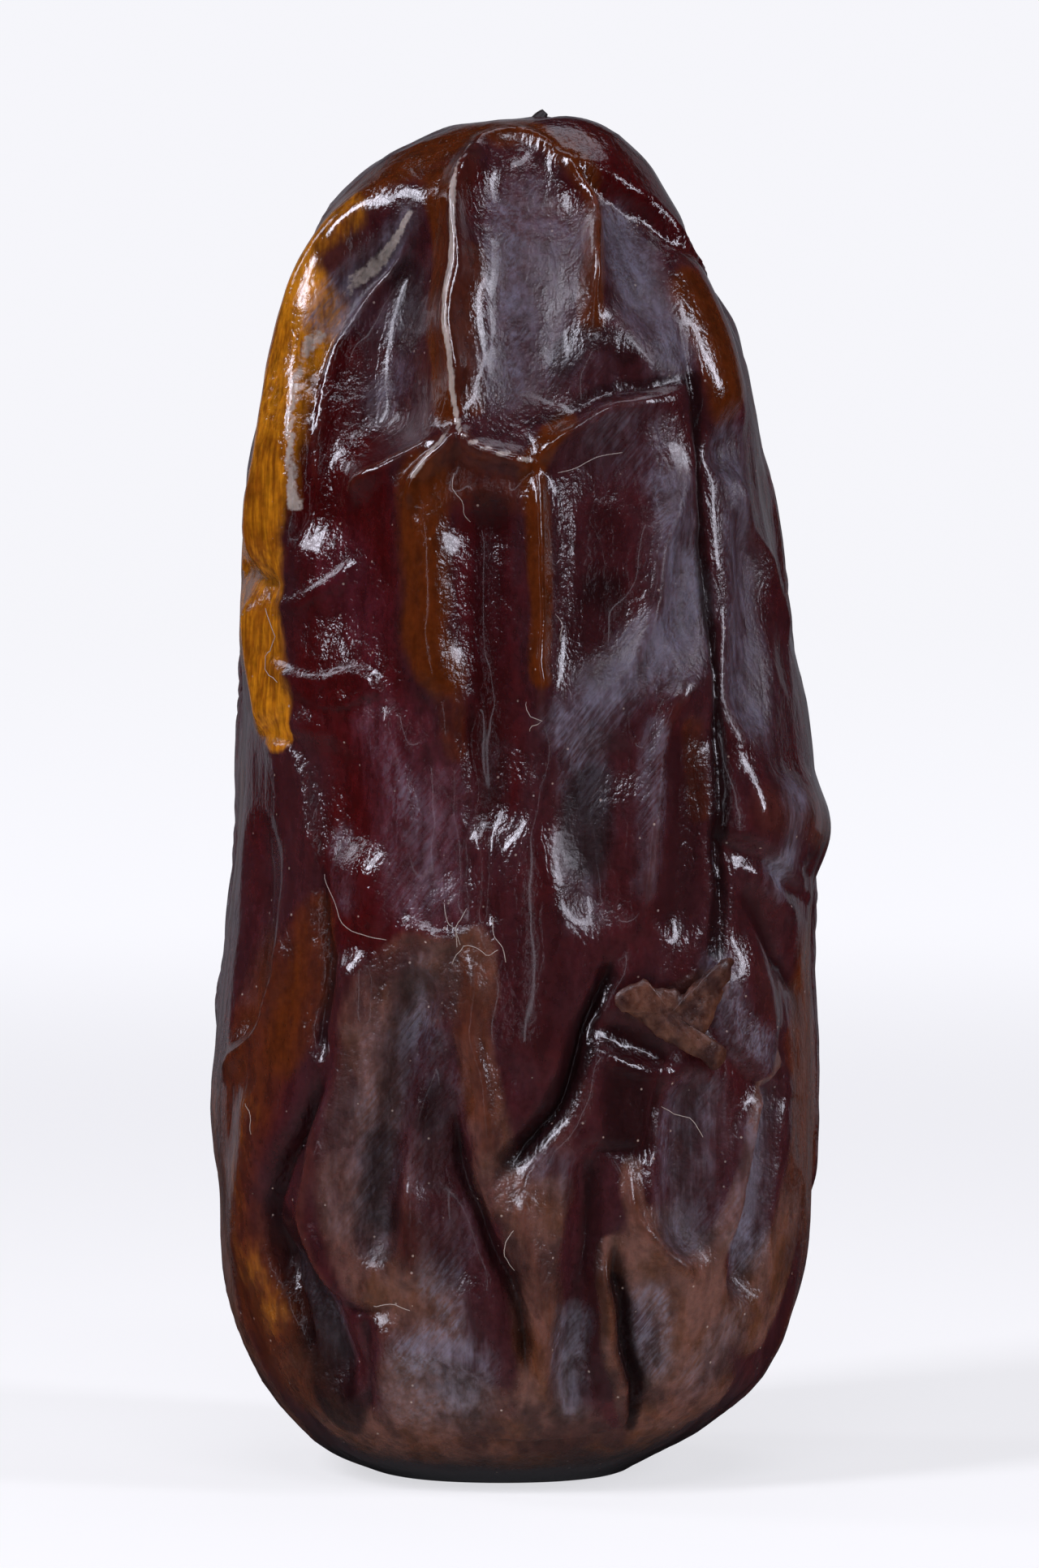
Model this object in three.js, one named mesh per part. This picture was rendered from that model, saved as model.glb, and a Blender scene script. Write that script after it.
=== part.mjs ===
// A dried medjool date, standing on the flat spot of its blunt stem end.
// One solid: a long body with a wrinkled skin of raised ridges, sunken panels and sharp folds.
// Millimetres, +Z up. The front, which the reliefs below are drawn on, faces -Y.
import * as THREE from "three";

// Driving sizes
const HEIGHT = 55.6;
const FOOT_FADE = [0.15, 1.9]; // between these heights the relief comes in
const SCAR_DEPTH = 0.8; // the stem scar, a shallow pit in the underside
const CORNER = 0.018; // how much a cross-section is squared off at its diagonals
const SHARPNESS = 0.4; // how round the bottom of a crease is, in half widths

// How the front relief was seen: from this far away, looking down at this slope
const VIEW_DISTANCE = 340;
const VIEW_SLOPE = 0.06;
const VIEW_MIDDLE = HEIGHT / 2;

// The faces of the solid
const RINGS = 66;
const SIDES = 90;
const FRONT_CROWDING = 0.3; // how much closer the columns stand at the front than on average

const SKIN = { color: 0x4a2018, roughness: 0.38, metalness: 0 };

// Cross-sections from the stem end to the tip: [height, left, right, front, back]
const SECTIONS = [
  [SCAR_DEPTH, -0.6, -0.6, 0.2, 0.2],
  [SCAR_DEPTH - 0.1, -1.9, 0.7, -1.1, 1.5],
  [0, -2.8, 1.6, -2.0, 2.4],
  [0, -5.6, 4.2, -4.9, 5.1],
  [0.35, -6.9, 5.1, -6.2, 6.5],
  [1.05, -8.35, 6.3, -7.6, 7.9],
  [2.3, -9.7, 8.35, -9.1, 9.3],
  [4.2, -11.0, 10.4, -10.4, 10.5],
  [7.0, -12.1, 11.6, -11.3, 11.2],
  [11.0, -12.55, 12.1, -11.8, 11.6],
  [16.0, -12.75, 12.2, -12.0, 11.8],
  [21.0, -12.3, 12.05, -11.9, 11.8],
  [26.0, -11.75, 12.3, -11.7, 11.6],
  [31.0, -11.5, 11.95, -11.5, 11.3],
  [36.0, -11.6, 10.9, -11.1, 10.8],
  [41.0, -11.15, 10.1, -10.5, 10.2],
  [45.5, -10.0, 9.35, -9.7, 9.3],
  [49.0, -9.05, 7.7, -8.6, 8.3],
  [51.6, -7.95, 6.05, -7.3, 7.0],
  [53.6, -6.0, 4.95, -5.6, 5.6],
  [55.0, -2.9, 3.3, -3.3, 3.5],
  [HEIGHT, 0.9, 0.9, 0.1, 0.1],
];
const FLAT_SECTION = 3; // above this one, height only rises

// Relief seen from the front: [kind, height, half width, [[x, z], ...]]
// A ridge has a round crest and sagging sides, a panel is a soft hollow or swelling, a crease is
// a sharp groove, and a fold stands up on one side of its line and drops away on the other: the
// left side, walking along the line, where its height is positive.
const FRONT_RELIEF = [
  // the tall window of ridges under the tip
  ["ridge", 1.15, 0.55,
      [[-1.5, 54.3], [-2.15, 53.5], [-2.5, 52.4], [-2.65, 51.2], [-2.65, 50], [-2.8, 47.5], [-2.7, 45],
       [-2.4, 43]]],
  ["ridge", 0.5, 0.5,
      [[-2.0, 53.8], [-1.4, 54.4], [-0.6, 54.7], [0.3, 54.6], [1.0, 54.2], [1.8, 53.5]]],
  ["ridge", 0.85, 0.42,
      [[1.2, 54.0], [2.0, 53.3], [2.6, 52.4], [2.85, 50.9], [2.9, 49.2], [3.1, 47.4]]],
  ["ridge", 0.9, 0.42, [[-2.4, 43.2], [-2.9, 42.1], [-3.7, 41.3], [-4.3, 40.4], [-4.5, 39]]],
  ["ridge", 0.95, 0.4, [[-2.4, 43], [-1.9, 42.15], [-0.9, 41.7], [0.5, 41.35]]],
  ["ridge", 0.6, 0.5, [[0.4, 41.4], [1.2, 42.0], [2.0, 42.7], [3.2, 43.3], [4.6, 43.8], [6.6, 44.2]]],
  ["ridge", 0.65, 0.44, [[-2.9, 42.7], [-4.0, 42.0], [-5.2, 41.4], [-6.4, 40.8], [-7.5, 40.0]]],
  ["panel", -0.95, 2.0, [[0.2, 52.0], [0.1, 48], [0.4, 45]]],
  ["panel", 0.2, 1.3, [[2.6, 45.6], [4.4, 45.8]]],
  ["panel", -0.35, 0.8, [[1.3, 44.0], [2.8, 44.6], [4.4, 44.9]]],
  ["crease", -0.4, 0.28, [[1.5, 42.9], [2.4, 43.5], [3.5, 43.95], [4.8, 44.3], [6.9, 45.1]]],
  // the lobe that folds over at the top right
  ["panel", 0.5, 2.1, [[3.0, 54.4], [4.6, 53.0], [5.6, 51.8]]],
  ["fold", 0.6, 0.45, [[1.4, 53.9], [2.8, 52.95], [4.0, 52.1], [5.0, 51.4], [6.0, 50.4], [6.9, 49.5]]],
  ["panel", 0.7, 1.7, [[6.8, 48.9], [7.7, 46.8], [8.2, 44.6]]],
  ["panel", -0.4, 1.2, [[4.2, 50.6], [4.9, 48.2]]],
  ["panel", -0.5, 0.85, [[8.4, 42.9], [8.3, 41.8]]],
  // the golden ridge along the left edge and its loose lower strip
  ["ridge", 1.0, 1.4,
      [[-5.0, 53.0], [-6.7, 51.2], [-7.9, 49.2], [-8.7, 47], [-9.3, 44.6], [-9.7, 42], [-10.1, 39.6],
       [-10.4, 37.8], [-10.6, 36.9]]],
  ["ridge", 0.7, 1.0, [[-10.8, 36.2], [-10.6, 34], [-10.3, 32], [-9.9, 30.2]]],
  ["crease", -0.4, 0.35, [[-11.8, 36.9], [-10.6, 36.7], [-9.6, 36.4]]],
  ["fold", -0.55, 0.4,
      [[-5.0, 51.3], [-6.6, 49.8], [-7.7, 47.9], [-8.3, 45.4], [-8.6, 42.4], [-8.9, 39.6],
       [-9.2, 37.4]]],
  ["ridge", 0.6, 0.32,
      [[-4.5, 51.5], [-5.6, 50.3], [-6.7, 48.8], [-7.5, 47.2], [-8.0, 45.3], [-8.3, 43.3], [-8.5, 41.0],
       [-8.6, 38.4]]],
  ["panel", -2.0, 2.5, [[-5.6, 49.4], [-6.1, 46.8], [-6.2, 44.2]]],
  ["panel", -0.8, 1.5, [[-7.7, 42.0], [-8.1, 39.5]]],
  // the cherry-red hollow left of the middle
  ["panel", -0.7, 2.1, [[-7.2, 38.2], [-7.4, 35.2]]],
  ["ridge", 0.35, 0.4, [[-9.9, 35.5], [-8.8, 35.8], [-7.9, 36.4], [-7.0, 37.4]]],
  ["panel", -0.3, 0.6, [[-6.1, 37.3], [-5.6, 36.6]]],
  ["fold", -0.3, 0.3,
      [[-9.9, 33.5], [-9.2, 33.0], [-8.2, 32.7], [-7.0, 33.0], [-6.0, 32.7], [-5.3, 31.9]]],
  ["panel", -0.3, 0.8, [[-8.5, 32.2], [-6.6, 32.2]]],
  ["fold", 0.28, 0.3, [[-9.2, 32.2], [-8.4, 31.5], [-7.3, 31.4], [-6.2, 31.6], [-5.3, 31.7]]],
  ["ridge", 0.4, 0.45, [[-5.4, 31.4], [-5.2, 30.4], [-4.9, 29.2], [-4.6, 27.4], [-4.4, 25.2]]],
  ["ridge", 0.25, 0.5, [[-9.6, 30.6], [-8.0, 30.3], [-6.6, 29.4]]],
  ["panel", -0.5, 1.5, [[-7.4, 29.2], [-7.0, 26.5]]],
  ["panel", 0.3, 1.0, [[-6.4, 24.8], [-6.0, 23.2]]],
  ["panel", -0.3, 1.1, [[-3.3, 28.5], [-3.3, 24.8]]],
  ["fold", -0.25, 0.35, [[-10.3, 30.0], [-9.2, 29.6], [-8.6, 28.4], [-8.3, 26.6], [-8.0, 24.6]]],
  // the dark trough down the middle and its amber rims
  ["ridge", 0.5, 0.9,
      [[-4.3, 40.6], [-4.0, 38.5], [-3.9, 36.5], [-3.9, 34.8], [-3.6, 33.2], [-3.1, 31.4]]],
  ["ridge", 0.65, 0.42, [[0.5, 41.4], [0.75, 39.5], [0.9, 37], [1.0, 35], [0.9, 32.5], [0.5, 30.5]]],
  ["panel", -0.85, 1.3, [[-1.5, 38.4], [-1.5, 34.5], [-1.0, 30.5], [-1.1, 27.4]]],
  ["crease", -0.3, 0.3, [[-2.1, 32.4], [-2.05, 29], [-2.1, 26], [-1.9, 22.6]]],
  ["crease", -0.3, 0.25, [[-1.2, 26.4], [-1.15, 24.2], [-1.3, 22.2]]],
  // the broad panels right of the middle
  ["panel", -0.7, 1.75, [[3.4, 40.6], [3.2, 38], [3.0, 34.4]]],
  ["panel", 0.25, 1.0, [[3.7, 39.0], [3.6, 36.8]]],
  ["ridge", 0.45, 0.5, [[6.9, 41.2], [6.0, 39], [5.6, 36.8], [5.2, 34.6], [4.3, 32.8], [3.0, 31.5]]],
  ["panel", -0.35, 1.0, [[6.6, 37.6], [6.5, 34.8]]],
  ["panel", -0.7, 1.3, [[3.3, 28.6], [2.8, 26.2], [3.2, 24]]],
  ["ridge", 0.55, 0.5, [[7.4, 32.6], [6.4, 31.6], [5.7, 29.5], [5.4, 27], [5.2, 24.8], [4.9, 22.6]]],
  ["panel", -0.4, 1.0, [[7.2, 30], [7.0, 26.5], [6.6, 23]]],
  ["crease", -0.6, 0.36,
      [[6.4, 46.4], [6.9, 44.6], [7.2, 42], [7.35, 39], [7.6, 36], [7.85, 33], [8.05, 30], [8.2, 27],
       [8.2, 24], [8.0, 21.4]]],
  ["fold", -0.35, 0.4,
      [[6.4, 46.4], [6.9, 44.6], [7.2, 42], [7.35, 39], [7.6, 36], [7.85, 33], [8.05, 30], [8.2, 27],
       [8.2, 24], [8.0, 21.4]]],
  // the right flank
  ["panel", -0.6, 1.2, [[9.3, 37.8], [9.5, 34.8], [9.3, 31.8]]],
  ["ridge", 0.5, 0.5, [[8.6, 41.2], [9.0, 39.6], [9.9, 37.6], [10.6, 35.6], [11.0, 33.8]]],
  ["panel", 0.7, 1.5, [[9.6, 27.3], [11.6, 26.8], [12.6, 26.4]]],
  ["fold", 0.5, 0.4, [[8.4, 26.1], [9.5, 25.6], [10.4, 24.7], [11.7, 23.7]]],
  ["ridge", 0.35, 0.6, [[9.2, 24.7], [10.3, 23.7], [11.4, 22.6]]],
  ["crease", -0.5, 0.5, [[8.9, 24.0], [9.8, 22.4], [10.7, 20.7], [11.6, 19.6]]],
  ["panel", 0.5, 1.2, [[9.3, 20.6], [9.7, 18.6]]],
  ["fold", 0.55, 0.4, [[7.9, 21], [7.95, 19.2], [8.5, 17.3], [9.4, 16.3], [10.5, 15.8]]],
  ["crease", -0.35, 0.35, [[10.6, 17.8], [10.9, 16.6], [10.5, 15.8]]],
  ["panel", -0.9, 0.9, [[10.3, 15.2], [9.9, 12.6], [9.5, 9.6], [9.2, 7.8]]],
  ["ridge", 0.65, 0.4, [[10.2, 16.0], [9.4, 14.6], [8.9, 12.6], [8.6, 10.6], [8.2, 9.2]]],
  // the torn skin right of the middle
  ["crease", -0.8, 0.36,
      [[4.2, 21.3], [3.4, 19.8], [2.8, 18], [2.3, 16.3], [1.8, 14.8], [0.8, 13.7], [-0.3, 12.7],
       [-1.2, 11.4]]],
  ["fold", 0.4, 0.3, [[3.4, 19.8], [2.8, 18], [2.3, 16.3], [1.8, 14.8], [0.8, 13.7], [-0.3, 12.7]]],
  ["panel", -0.6, 0.8, [[4.0, 18.0], [5.0, 17.5], [6.0, 16.9]]],
  ["ridge", 0.35, 0.3, [[3.3, 17.4], [4.4, 16.7], [5.6, 16.3], [6.4, 16.2]]],
  ["panel", -0.3, 0.95, [[5.0, 19.2], [6.3, 18.6], [7.2, 17.8]]],
  ["crease", -0.4, 0.22, [[5.75, 16.4], [5.6, 14.6], [5.1, 12.5]]],
  ["crease", -0.3, 0.18, [[2.9, 13.1], [3.9, 13.0], [5.0, 13.0]]],
  // the smooth purple panel in the middle and the tan band beside it
  ["panel", 0.4, 1.7, [[0.6, 24], [0.9, 21], [0.5, 18]]],
  ["ridge", 0.65, 0.55,
      [[-1.9, 21.7], [-1.9, 19.6], [-1.9, 17.4], [-1.5, 15.4], [-1.3, 13.4], [-1.5, 12.0]]],
  ["ridge", 0.4, 0.35, [[-5.0, 22.1], [-4.2, 22.1], [-3.2, 21.7], [-1.6, 21.9]]],
  // the lower panels, left to right
  ["panel", 0.45, 0.7, [[-6.85, 20.4], [-6.85, 18.6]]],
  ["crease", -0.6, 0.24, [[-8.0, 25.4], [-7.9, 22.6], [-7.6, 20.6], [-8.0, 18.4], [-8.0, 16.4]]],
  ["crease", -1.0, 0.3,
      [[-8.0, 16.4], [-8.5, 14.6], [-9.3, 13], [-9.9, 11.3], [-10.0, 9.8], [-9.7, 7.6], [-9.1, 5.8],
       [-8.3, 3.9]]],
  ["panel", -1.0, 1.15, [[-9.2, 8.6], [-8.2, 6.4], [-7.4, 4.4]]],
  ["ridge", 0.65, 0.5, [[-7.8, 15.6], [-8.3, 12.2], [-8.6, 10.2], [-8.1, 8.2], [-7.3, 6.9]]],
  ["panel", -0.75, 0.85, [[-4.3, 19.4], [-4.6, 17.2], [-5.6, 13.4], [-5.9, 9.4]]],
  ["ridge", 0.35, 0.6, [[-4.3, 12], [-4.6, 9.4], [-4.4, 7.2]]],
  ["panel", -0.5, 1.1, [[-3.2, 16.4], [-3.2, 12], [-2.7, 8.6]]],
  ["crease", -0.9, 0.26,
      [[-2.7, 15], [-2.5, 13], [-1.9, 11], [-1.1, 9], [-0.3, 7.2], [0.2, 5.2], [0.3, 3.4]]],
  ["crease", -0.45, 0.22, [[-7.3, 6.7], [-6.4, 6.3], [-5.0, 6.4]]],
  ["crease", -0.45, 0.22, [[-6.2, 6.2], [-6.2, 4.2], [-6.2, 2]]],
  ["ridge", 0.3, 0.35, [[-6.0, 5.8], [-4.8, 4.9], [-3.0, 4.7], [-1.0, 3.7]]],
  ["ridge", 0.65, 0.55, [[0.2, 11.6], [0.4, 9], [0.9, 6], [0.9, 3.2]]],
  ["panel", -0.7, 0.8, [[2.9, 12.2], [2.7, 9], [2.2, 6], [2.3, 3.4]]],
  ["ridge", 0.75, 0.4, [[3.8, 8.8], [3.8, 6.6], [4.1, 4.4], [4.4, 2.4]]],
  ["crease", -1.2, 0.32, [[4.1, 9.4], [4.2, 7], [4.4, 5], [4.8, 3], [4.7, 1.6]]],
  ["ridge", 0.7, 0.42, [[4.5, 12.4], [4.6, 10.6], [5.4, 9.4], [6.2, 8.5], [7.1, 7.6]]],
  ["panel", -0.95, 1.2, [[6.9, 14.8], [6.8, 12], [7.0, 10]]],
  ["panel", -0.45, 0.9, [[5.3, 7.4], [5.4, 4.6]]],
  // the hanging front edge of the foot
  ["fold", 0.35, 0.3, [[-1.6, 1.2], [0, 1.15], [1.9, 1.2], [3.1, 1.45], [4.5, 1.9], [5.4, 3.0]]],
  // the lobes of the lower left
  ["panel", -0.6, 1.5, [[-10.6, 25], [-10.8, 21.4], [-11.0, 19]]],
  ["ridge", 0.55, 0.5, [[-9.3, 22.4], [-9.8, 20], [-10.4, 18.4], [-11.3, 17.3], [-12.3, 16.2]]],
  ["panel", 0.4, 1.7, [[-10.7, 13.6], [-11.2, 9.6]]],
];

// Relief on the flanks and the back: the same, with points as [degrees round from the front, height]
const SIDE_RELIEF = [
  ["ridge", 0.7, 0.65, [[103, 49], [106, 44], [102, 38], [108, 32], [104, 26]]],
  ["ridge", 0.6, 0.6, [[104, 26], [115, 21], [118, 15], [114, 8]]],
  ["ridge", 0.5, 0.5, [[104, 26], [98, 21], [97, 15], [100, 10]]],
  ["ridge", 0.7, 0.65, [[126, 52], [130, 46], [135, 40], [131, 33], [127, 27], [115, 21]]],
  ["ridge", 0.8, 0.7,
      [[150, 53.5], [148, 47], [153, 41], [160, 36], [158, 29], [151, 23], [148, 16], [150, 9],
       [156, 3]]],
  ["ridge", 0.6, 0.55, [[160, 36], [172, 32], [178, 26], [174, 20], [178, 12], [174, 5]]],
  ["ridge", 0.8, 0.7,
      [[187, 54], [188, 48], [183, 42], [190, 37], [200, 32], [204, 26], [200, 19], [206, 12],
       [202, 4]]],
  ["ridge", 0.6, 0.6, [[213, 51], [212, 44], [219, 38], [215, 32], [204, 26]]],
  ["ridge", 0.75, 0.65,
      [[238, 50], [241, 44], [236, 37], [241, 31], [248, 26], [244, 19], [238, 12], [234, 4]]],
  ["ridge", 0.5, 0.5, [[130, 46], [140, 43.5], [148, 46]]],
  ["ridge", 0.45, 0.5, [[153, 41], [168, 43], [183, 42]]],
  ["ridge", 0.5, 0.5, [[219, 38], [228, 35.5], [236, 37]]],
  ["ridge", 0.45, 0.5, [[200, 19], [213, 16.5], [226, 19], [244, 19]]],
  ["ridge", 0.45, 0.5, [[127, 27], [139, 21.5], [151, 23]]],
  ["ridge", 0.5, 0.5, [[253, 48], [258, 42], [254, 36], [262, 30], [257, 23], [262, 15], [256, 8]]],
  ["panel", -0.8, 2.0, [[117, 45], [119, 36], [116, 30]]],
  ["panel", -0.8, 2.0, [[141, 37], [144, 30]]],
  ["panel", -0.7, 1.7, [[139, 50], [139, 47]]],
  ["panel", -0.8, 2.1, [[167, 51], [167, 46]]],
  ["panel", -0.7, 1.7, [[170, 38], [173, 36]]],
  ["panel", -0.9, 1.9, [[166, 26], [163, 18], [163, 9]]],
  ["panel", -0.9, 2.0, [[189, 29], [188, 20], [190, 9]]],
  ["panel", -0.8, 2.0, [[201, 47], [201, 40]]],
  ["panel", -0.8, 1.9, [[226, 48], [226, 41]]],
  ["panel", -0.8, 2.0, [[227, 31], [224, 24]]],
  ["panel", -0.8, 2.0, [[222, 13], [219, 6]]],
  ["panel", -0.8, 1.8, [[134, 16], [133, 8]]],
  ["panel", -0.6, 1.4, [[247, 42], [247, 34]]],
  ["panel", -0.7, 1.6, [[254, 17], [248, 8]]],
  ["crease", -0.5, 0.4, [[108, 17], [107, 10], [104, 4]]],
  ["crease", -0.5, 0.4, [[124, 41], [125, 34], [121, 28]]],
  ["crease", -0.5, 0.4, [[158, 22], [156, 15], [160, 7]]],
  ["crease", -0.5, 0.4, [[194, 25], [193, 16], [196, 8]]],
  ["crease", -0.5, 0.4, [[210, 47], [206, 40], [208, 34]]],
  ["crease", -0.5, 0.4, [[232, 29], [234, 21], [230, 13]]],
];

const mix = (a, b, share) => a + (b - a) * share;
const clamp = (value, low, high) => Math.min(high, Math.max(low, value));
function ease(low, high, value) {
  const share = clamp((value - low) / (high - low), 0, 1);
  return share * share * (3 - 2 * share);
}

// A smooth curve through rows of numbers, at a place from 0 to the last row
function through(rows, place) {
  const index = clamp(Math.floor(place), 0, rows.length - 2);
  const share = place - index;
  const row = (k) => rows[clamp(k, 0, rows.length - 1)];
  return rows[index].map((_, column) => {
    const [a, b, c, d] = [-1, 0, 1, 2].map((k) => row(index + k)[column]);
    const bend = 2 * a - 5 * b + 4 * c - d + (3 * b - a + d - 3 * c) * share;
    return b + 0.5 * share * (c - a + share * bend);
  });
}

// The smooth body's ring at a place along the sections
function ringAt(place) {
  const [z, left, right, front, back] = through(SECTIONS, place);
  return {
    z: Math.max(z, 0),
    x: (left + right) / 2,
    y: (front + back) / 2,
    wide: (right - left) / 2,
    deep: (back - front) / 2,
  };
}

function placeOfHeight(height) {
  let [low, high] = [FLAT_SECTION, SECTIONS.length - 1];
  for (let pass = 0; pass < 24; pass++) {
    const middle = (low + high) / 2;
    if (through(SECTIONS, middle)[0] < height) low = middle;
    else high = middle;
  }
  return low;
}

function onRing(ring, angle) {
  const square = 1 - CORNER * Math.cos(4 * angle);
  return new THREE.Vector3(
    ring.x + ring.wide * square * Math.sin(angle),
    ring.y - ring.deep * square * Math.cos(angle),
    ring.z,
  );
}

// The point of the smooth body that the front view shows at (x, z)
function seenAt(x, z) {
  let point = new THREE.Vector3(x, -HEIGHT / 5, z);
  for (let pass = 0; pass < 4; pass++) {
    const nearer = 1 + point.y / VIEW_DISTANCE;
    const height = VIEW_MIDDLE + (z - VIEW_MIDDLE) * nearer - point.y * VIEW_SLOPE;
    const ring = ringAt(placeOfHeight(height));
    const across = clamp((x * nearer - ring.x) / ring.wide, -0.995, 0.995);
    point = onRing(ring, Math.asin(across));
  }
  return point;
}

const roundAt = (degrees, z) => onRing(ringAt(placeOfHeight(z)), THREE.MathUtils.degToRad(degrees));

// A relief's line as a fine row of points on the smooth body
function tracedLine(points, toSurface) {
  const steps = 4 * (points.length - 1);
  const line = [];
  for (let step = 0; step <= steps; step++) {
    const [across, up] = through(points, step / 4);
    line.push(toSurface(across, up));
  }
  return line;
}

const RELIEF = [
  ...FRONT_RELIEF.map((row) => [...row, seenAt]),
  ...SIDE_RELIEF.map((row) => [...row, roundAt]),
].map(([kind, height, width, points, toSurface]) => {
  const line = tracedLine(points, toSurface);
  return { kind, height, width, line, box: new THREE.Box3().setFromPoints(line) };
});

// For a point of the body: its distance to a line, how far along the line the nearest place is
// from an end, and on which side of the line the point lies (1 is left, -1 is right)
function nearestOn(line, point, outward) {
  const found = { distance: Infinity, fromEnd: 0, side: 0 };
  const [segment, off] = [new THREE.Vector3(), new THREE.Vector3()];
  for (let k = 0; k < line.length - 1; k++) {
    segment.subVectors(line[k + 1], line[k]);
    off.subVectors(point, line[k]);
    const share = clamp(off.dot(segment) / segment.lengthSq(), 0, 1);
    off.addScaledVector(segment, -share);
    if (off.length() >= found.distance) continue;
    const along = (k + share) / (line.length - 1);
    found.distance = off.length();
    found.fromEnd = Math.min(along, 1 - along);
    found.side = Math.sign(off.dot(segment.cross(outward).negate()));
  }
  return found;
}

// How far each kind reaches from its line, in half widths
const REACH = { ridge: 6, panel: 1.6, crease: 5, fold: 9 };

const roundCrest = (d) => (1 + d * d) ** -1.3;
const bowl = (d) => Math.max(1 - (d / REACH.panel) ** 2, 0) ** 2;
const groove = (d) => Math.exp(SHARPNESS - Math.hypot(d, SHARPNESS));

// Across a fold: it rises to its edge on one side and lies lower, sheltered, on the other
function foldAcross(signed) {
  const above = ease(-0.7, 0.7, signed) * Math.exp(-Math.max(signed, 0) / 4);
  const below = ease(-0.7, 0.7, -signed) * Math.exp(-Math.max(-signed, 0) / 1.5);
  return above - 0.6 * below;
}

// How far the skin stands out from the smooth body at a point
function reliefAt(point, outward) {
  let [raised, sunk, cut, folded] = [0, 0, 0, 0];
  for (const { kind, height, width, line, box } of RELIEF) {
    if (box.distanceToPoint(point) > REACH[kind] * width) continue;
    const { distance, fromEnd, side } = nearestOn(line, point, outward);
    const d = distance / width;
    const size = Math.abs(height);
    const taper = mix(0.25, 1, ease(0, 0.2, fromEnd));
    if (kind === "ridge") raised += (size * taper * roundCrest(d)) ** 3;
    else if (kind === "crease") cut = Math.max(cut, size * taper * groove(d));
    else if (kind === "fold") folded += size * taper * foldAcross(d * side * Math.sign(height));
    else if (height > 0) raised += (size * bowl(d)) ** 3;
    else sunk += (size * bowl(d)) ** 2;
  }
  return Math.cbrt(raised) - Math.sqrt(sunk) - cut + folded;
}

// The places of the rings along the sections: the foot's own, then evenly spaced over the surface
function ringPlaces() {
  const places = Array.from({ length: FLAT_SECTION }, (_, section) => section + 1);
  const [last, steps] = [SECTIONS.length - 1, 2000];
  const placeAt = (step) => FLAT_SECTION + ((last - FLAT_SECTION) * step) / steps;
  const run = [0];
  let below = ringAt(FLAT_SECTION);
  for (let step = 1; step <= steps; step++) {
    const ring = ringAt(placeAt(step));
    const reach = (ring.wide - below.wide + ring.deep - below.deep) / 2;
    run.push(run[step - 1] + Math.hypot(reach, ring.z - below.z));
    below = ring;
  }
  const above = RINGS - places.length;
  for (let row = 1; row <= above; row++) {
    const wanted = (run[steps] * row) / (above + 1);
    const step = run.findIndex((length) => length > wanted);
    const share = (wanted - run[step - 1]) / (run[step] - run[step - 1]);
    places.push(placeAt(step - 1 + share));
  }
  return places;
}

function outwardAt(place, angle) {
  const step = 0.01;
  const across = onRing(ringAt(place), angle + step).sub(onRing(ringAt(place), angle - step));
  const up = onRing(ringAt(place + step), angle).sub(onRing(ringAt(place - step), angle));
  return across.cross(up).normalize();
}

// The grid of points: one pole, the rings, the other pole
function dateGeometry() {
  const last = SECTIONS.length - 1;
  const positions = [];
  const put = (p) => positions.push(p.x, p.y, p.z);
  put(onRing(ringAt(0), 0));
  for (const place of ringPlaces()) {
    for (let side = 0; side < SIDES; side++) {
      const turn = (2 * Math.PI * side) / SIDES;
      const angle = turn - FRONT_CROWDING * Math.sin(turn);
      const base = onRing(ringAt(place), angle);
      const outward = outwardAt(place, angle);
      const lift = place <= FLAT_SECTION ? 0 : ease(...FOOT_FADE, base.z);
      const point = base.clone().addScaledVector(outward, lift * reliefAt(base, outward));
      point.z = Math.max(point.z, 0);
      put(point);
    }
  }
  put(onRing(ringAt(last), 0));

  const faces = [];
  const at = (row, side) => 1 + row * SIDES + (side % SIDES);
  const tip = 1 + RINGS * SIDES;
  for (let side = 0; side < SIDES; side++) {
    faces.push(0, at(0, side + 1), at(0, side));
    faces.push(tip, at(RINGS - 1, side), at(RINGS - 1, side + 1));
    for (let row = 0; row < RINGS - 1; row++) {
      const [a, b] = [at(row, side), at(row, side + 1)];
      const [c, d] = [at(row + 1, side + 1), at(row + 1, side)];
      faces.push(a, b, c, a, c, d);
    }
  }
  const geometry = new THREE.BufferGeometry();
  geometry.setAttribute("position", new THREE.Float32BufferAttribute(positions, 3));
  geometry.setIndex(faces);
  geometry.computeVertexNormals();
  return geometry;
}

const date = new THREE.Mesh(dateGeometry(), new THREE.MeshStandardMaterial(SKIN));
date.name = "date";

const group = new THREE.Group();
group.add(date);
export default group;
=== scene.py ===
"""A dried medjool date standing on its blunt end, in a small pale studio."""

import math

import bpy
import numpy as np
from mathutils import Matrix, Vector


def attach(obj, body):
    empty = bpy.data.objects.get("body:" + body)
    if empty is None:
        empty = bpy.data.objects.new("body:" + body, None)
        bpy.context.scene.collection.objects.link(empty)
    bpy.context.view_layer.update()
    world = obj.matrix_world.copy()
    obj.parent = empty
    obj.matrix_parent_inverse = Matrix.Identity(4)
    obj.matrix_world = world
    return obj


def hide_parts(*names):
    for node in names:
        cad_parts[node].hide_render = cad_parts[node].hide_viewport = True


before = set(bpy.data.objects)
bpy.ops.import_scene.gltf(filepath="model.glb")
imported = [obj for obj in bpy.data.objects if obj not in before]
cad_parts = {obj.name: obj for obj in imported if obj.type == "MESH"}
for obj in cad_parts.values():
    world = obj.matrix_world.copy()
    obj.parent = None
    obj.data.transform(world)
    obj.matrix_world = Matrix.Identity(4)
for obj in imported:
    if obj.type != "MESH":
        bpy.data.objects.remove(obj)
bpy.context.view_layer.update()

MM = 0.001

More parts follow.
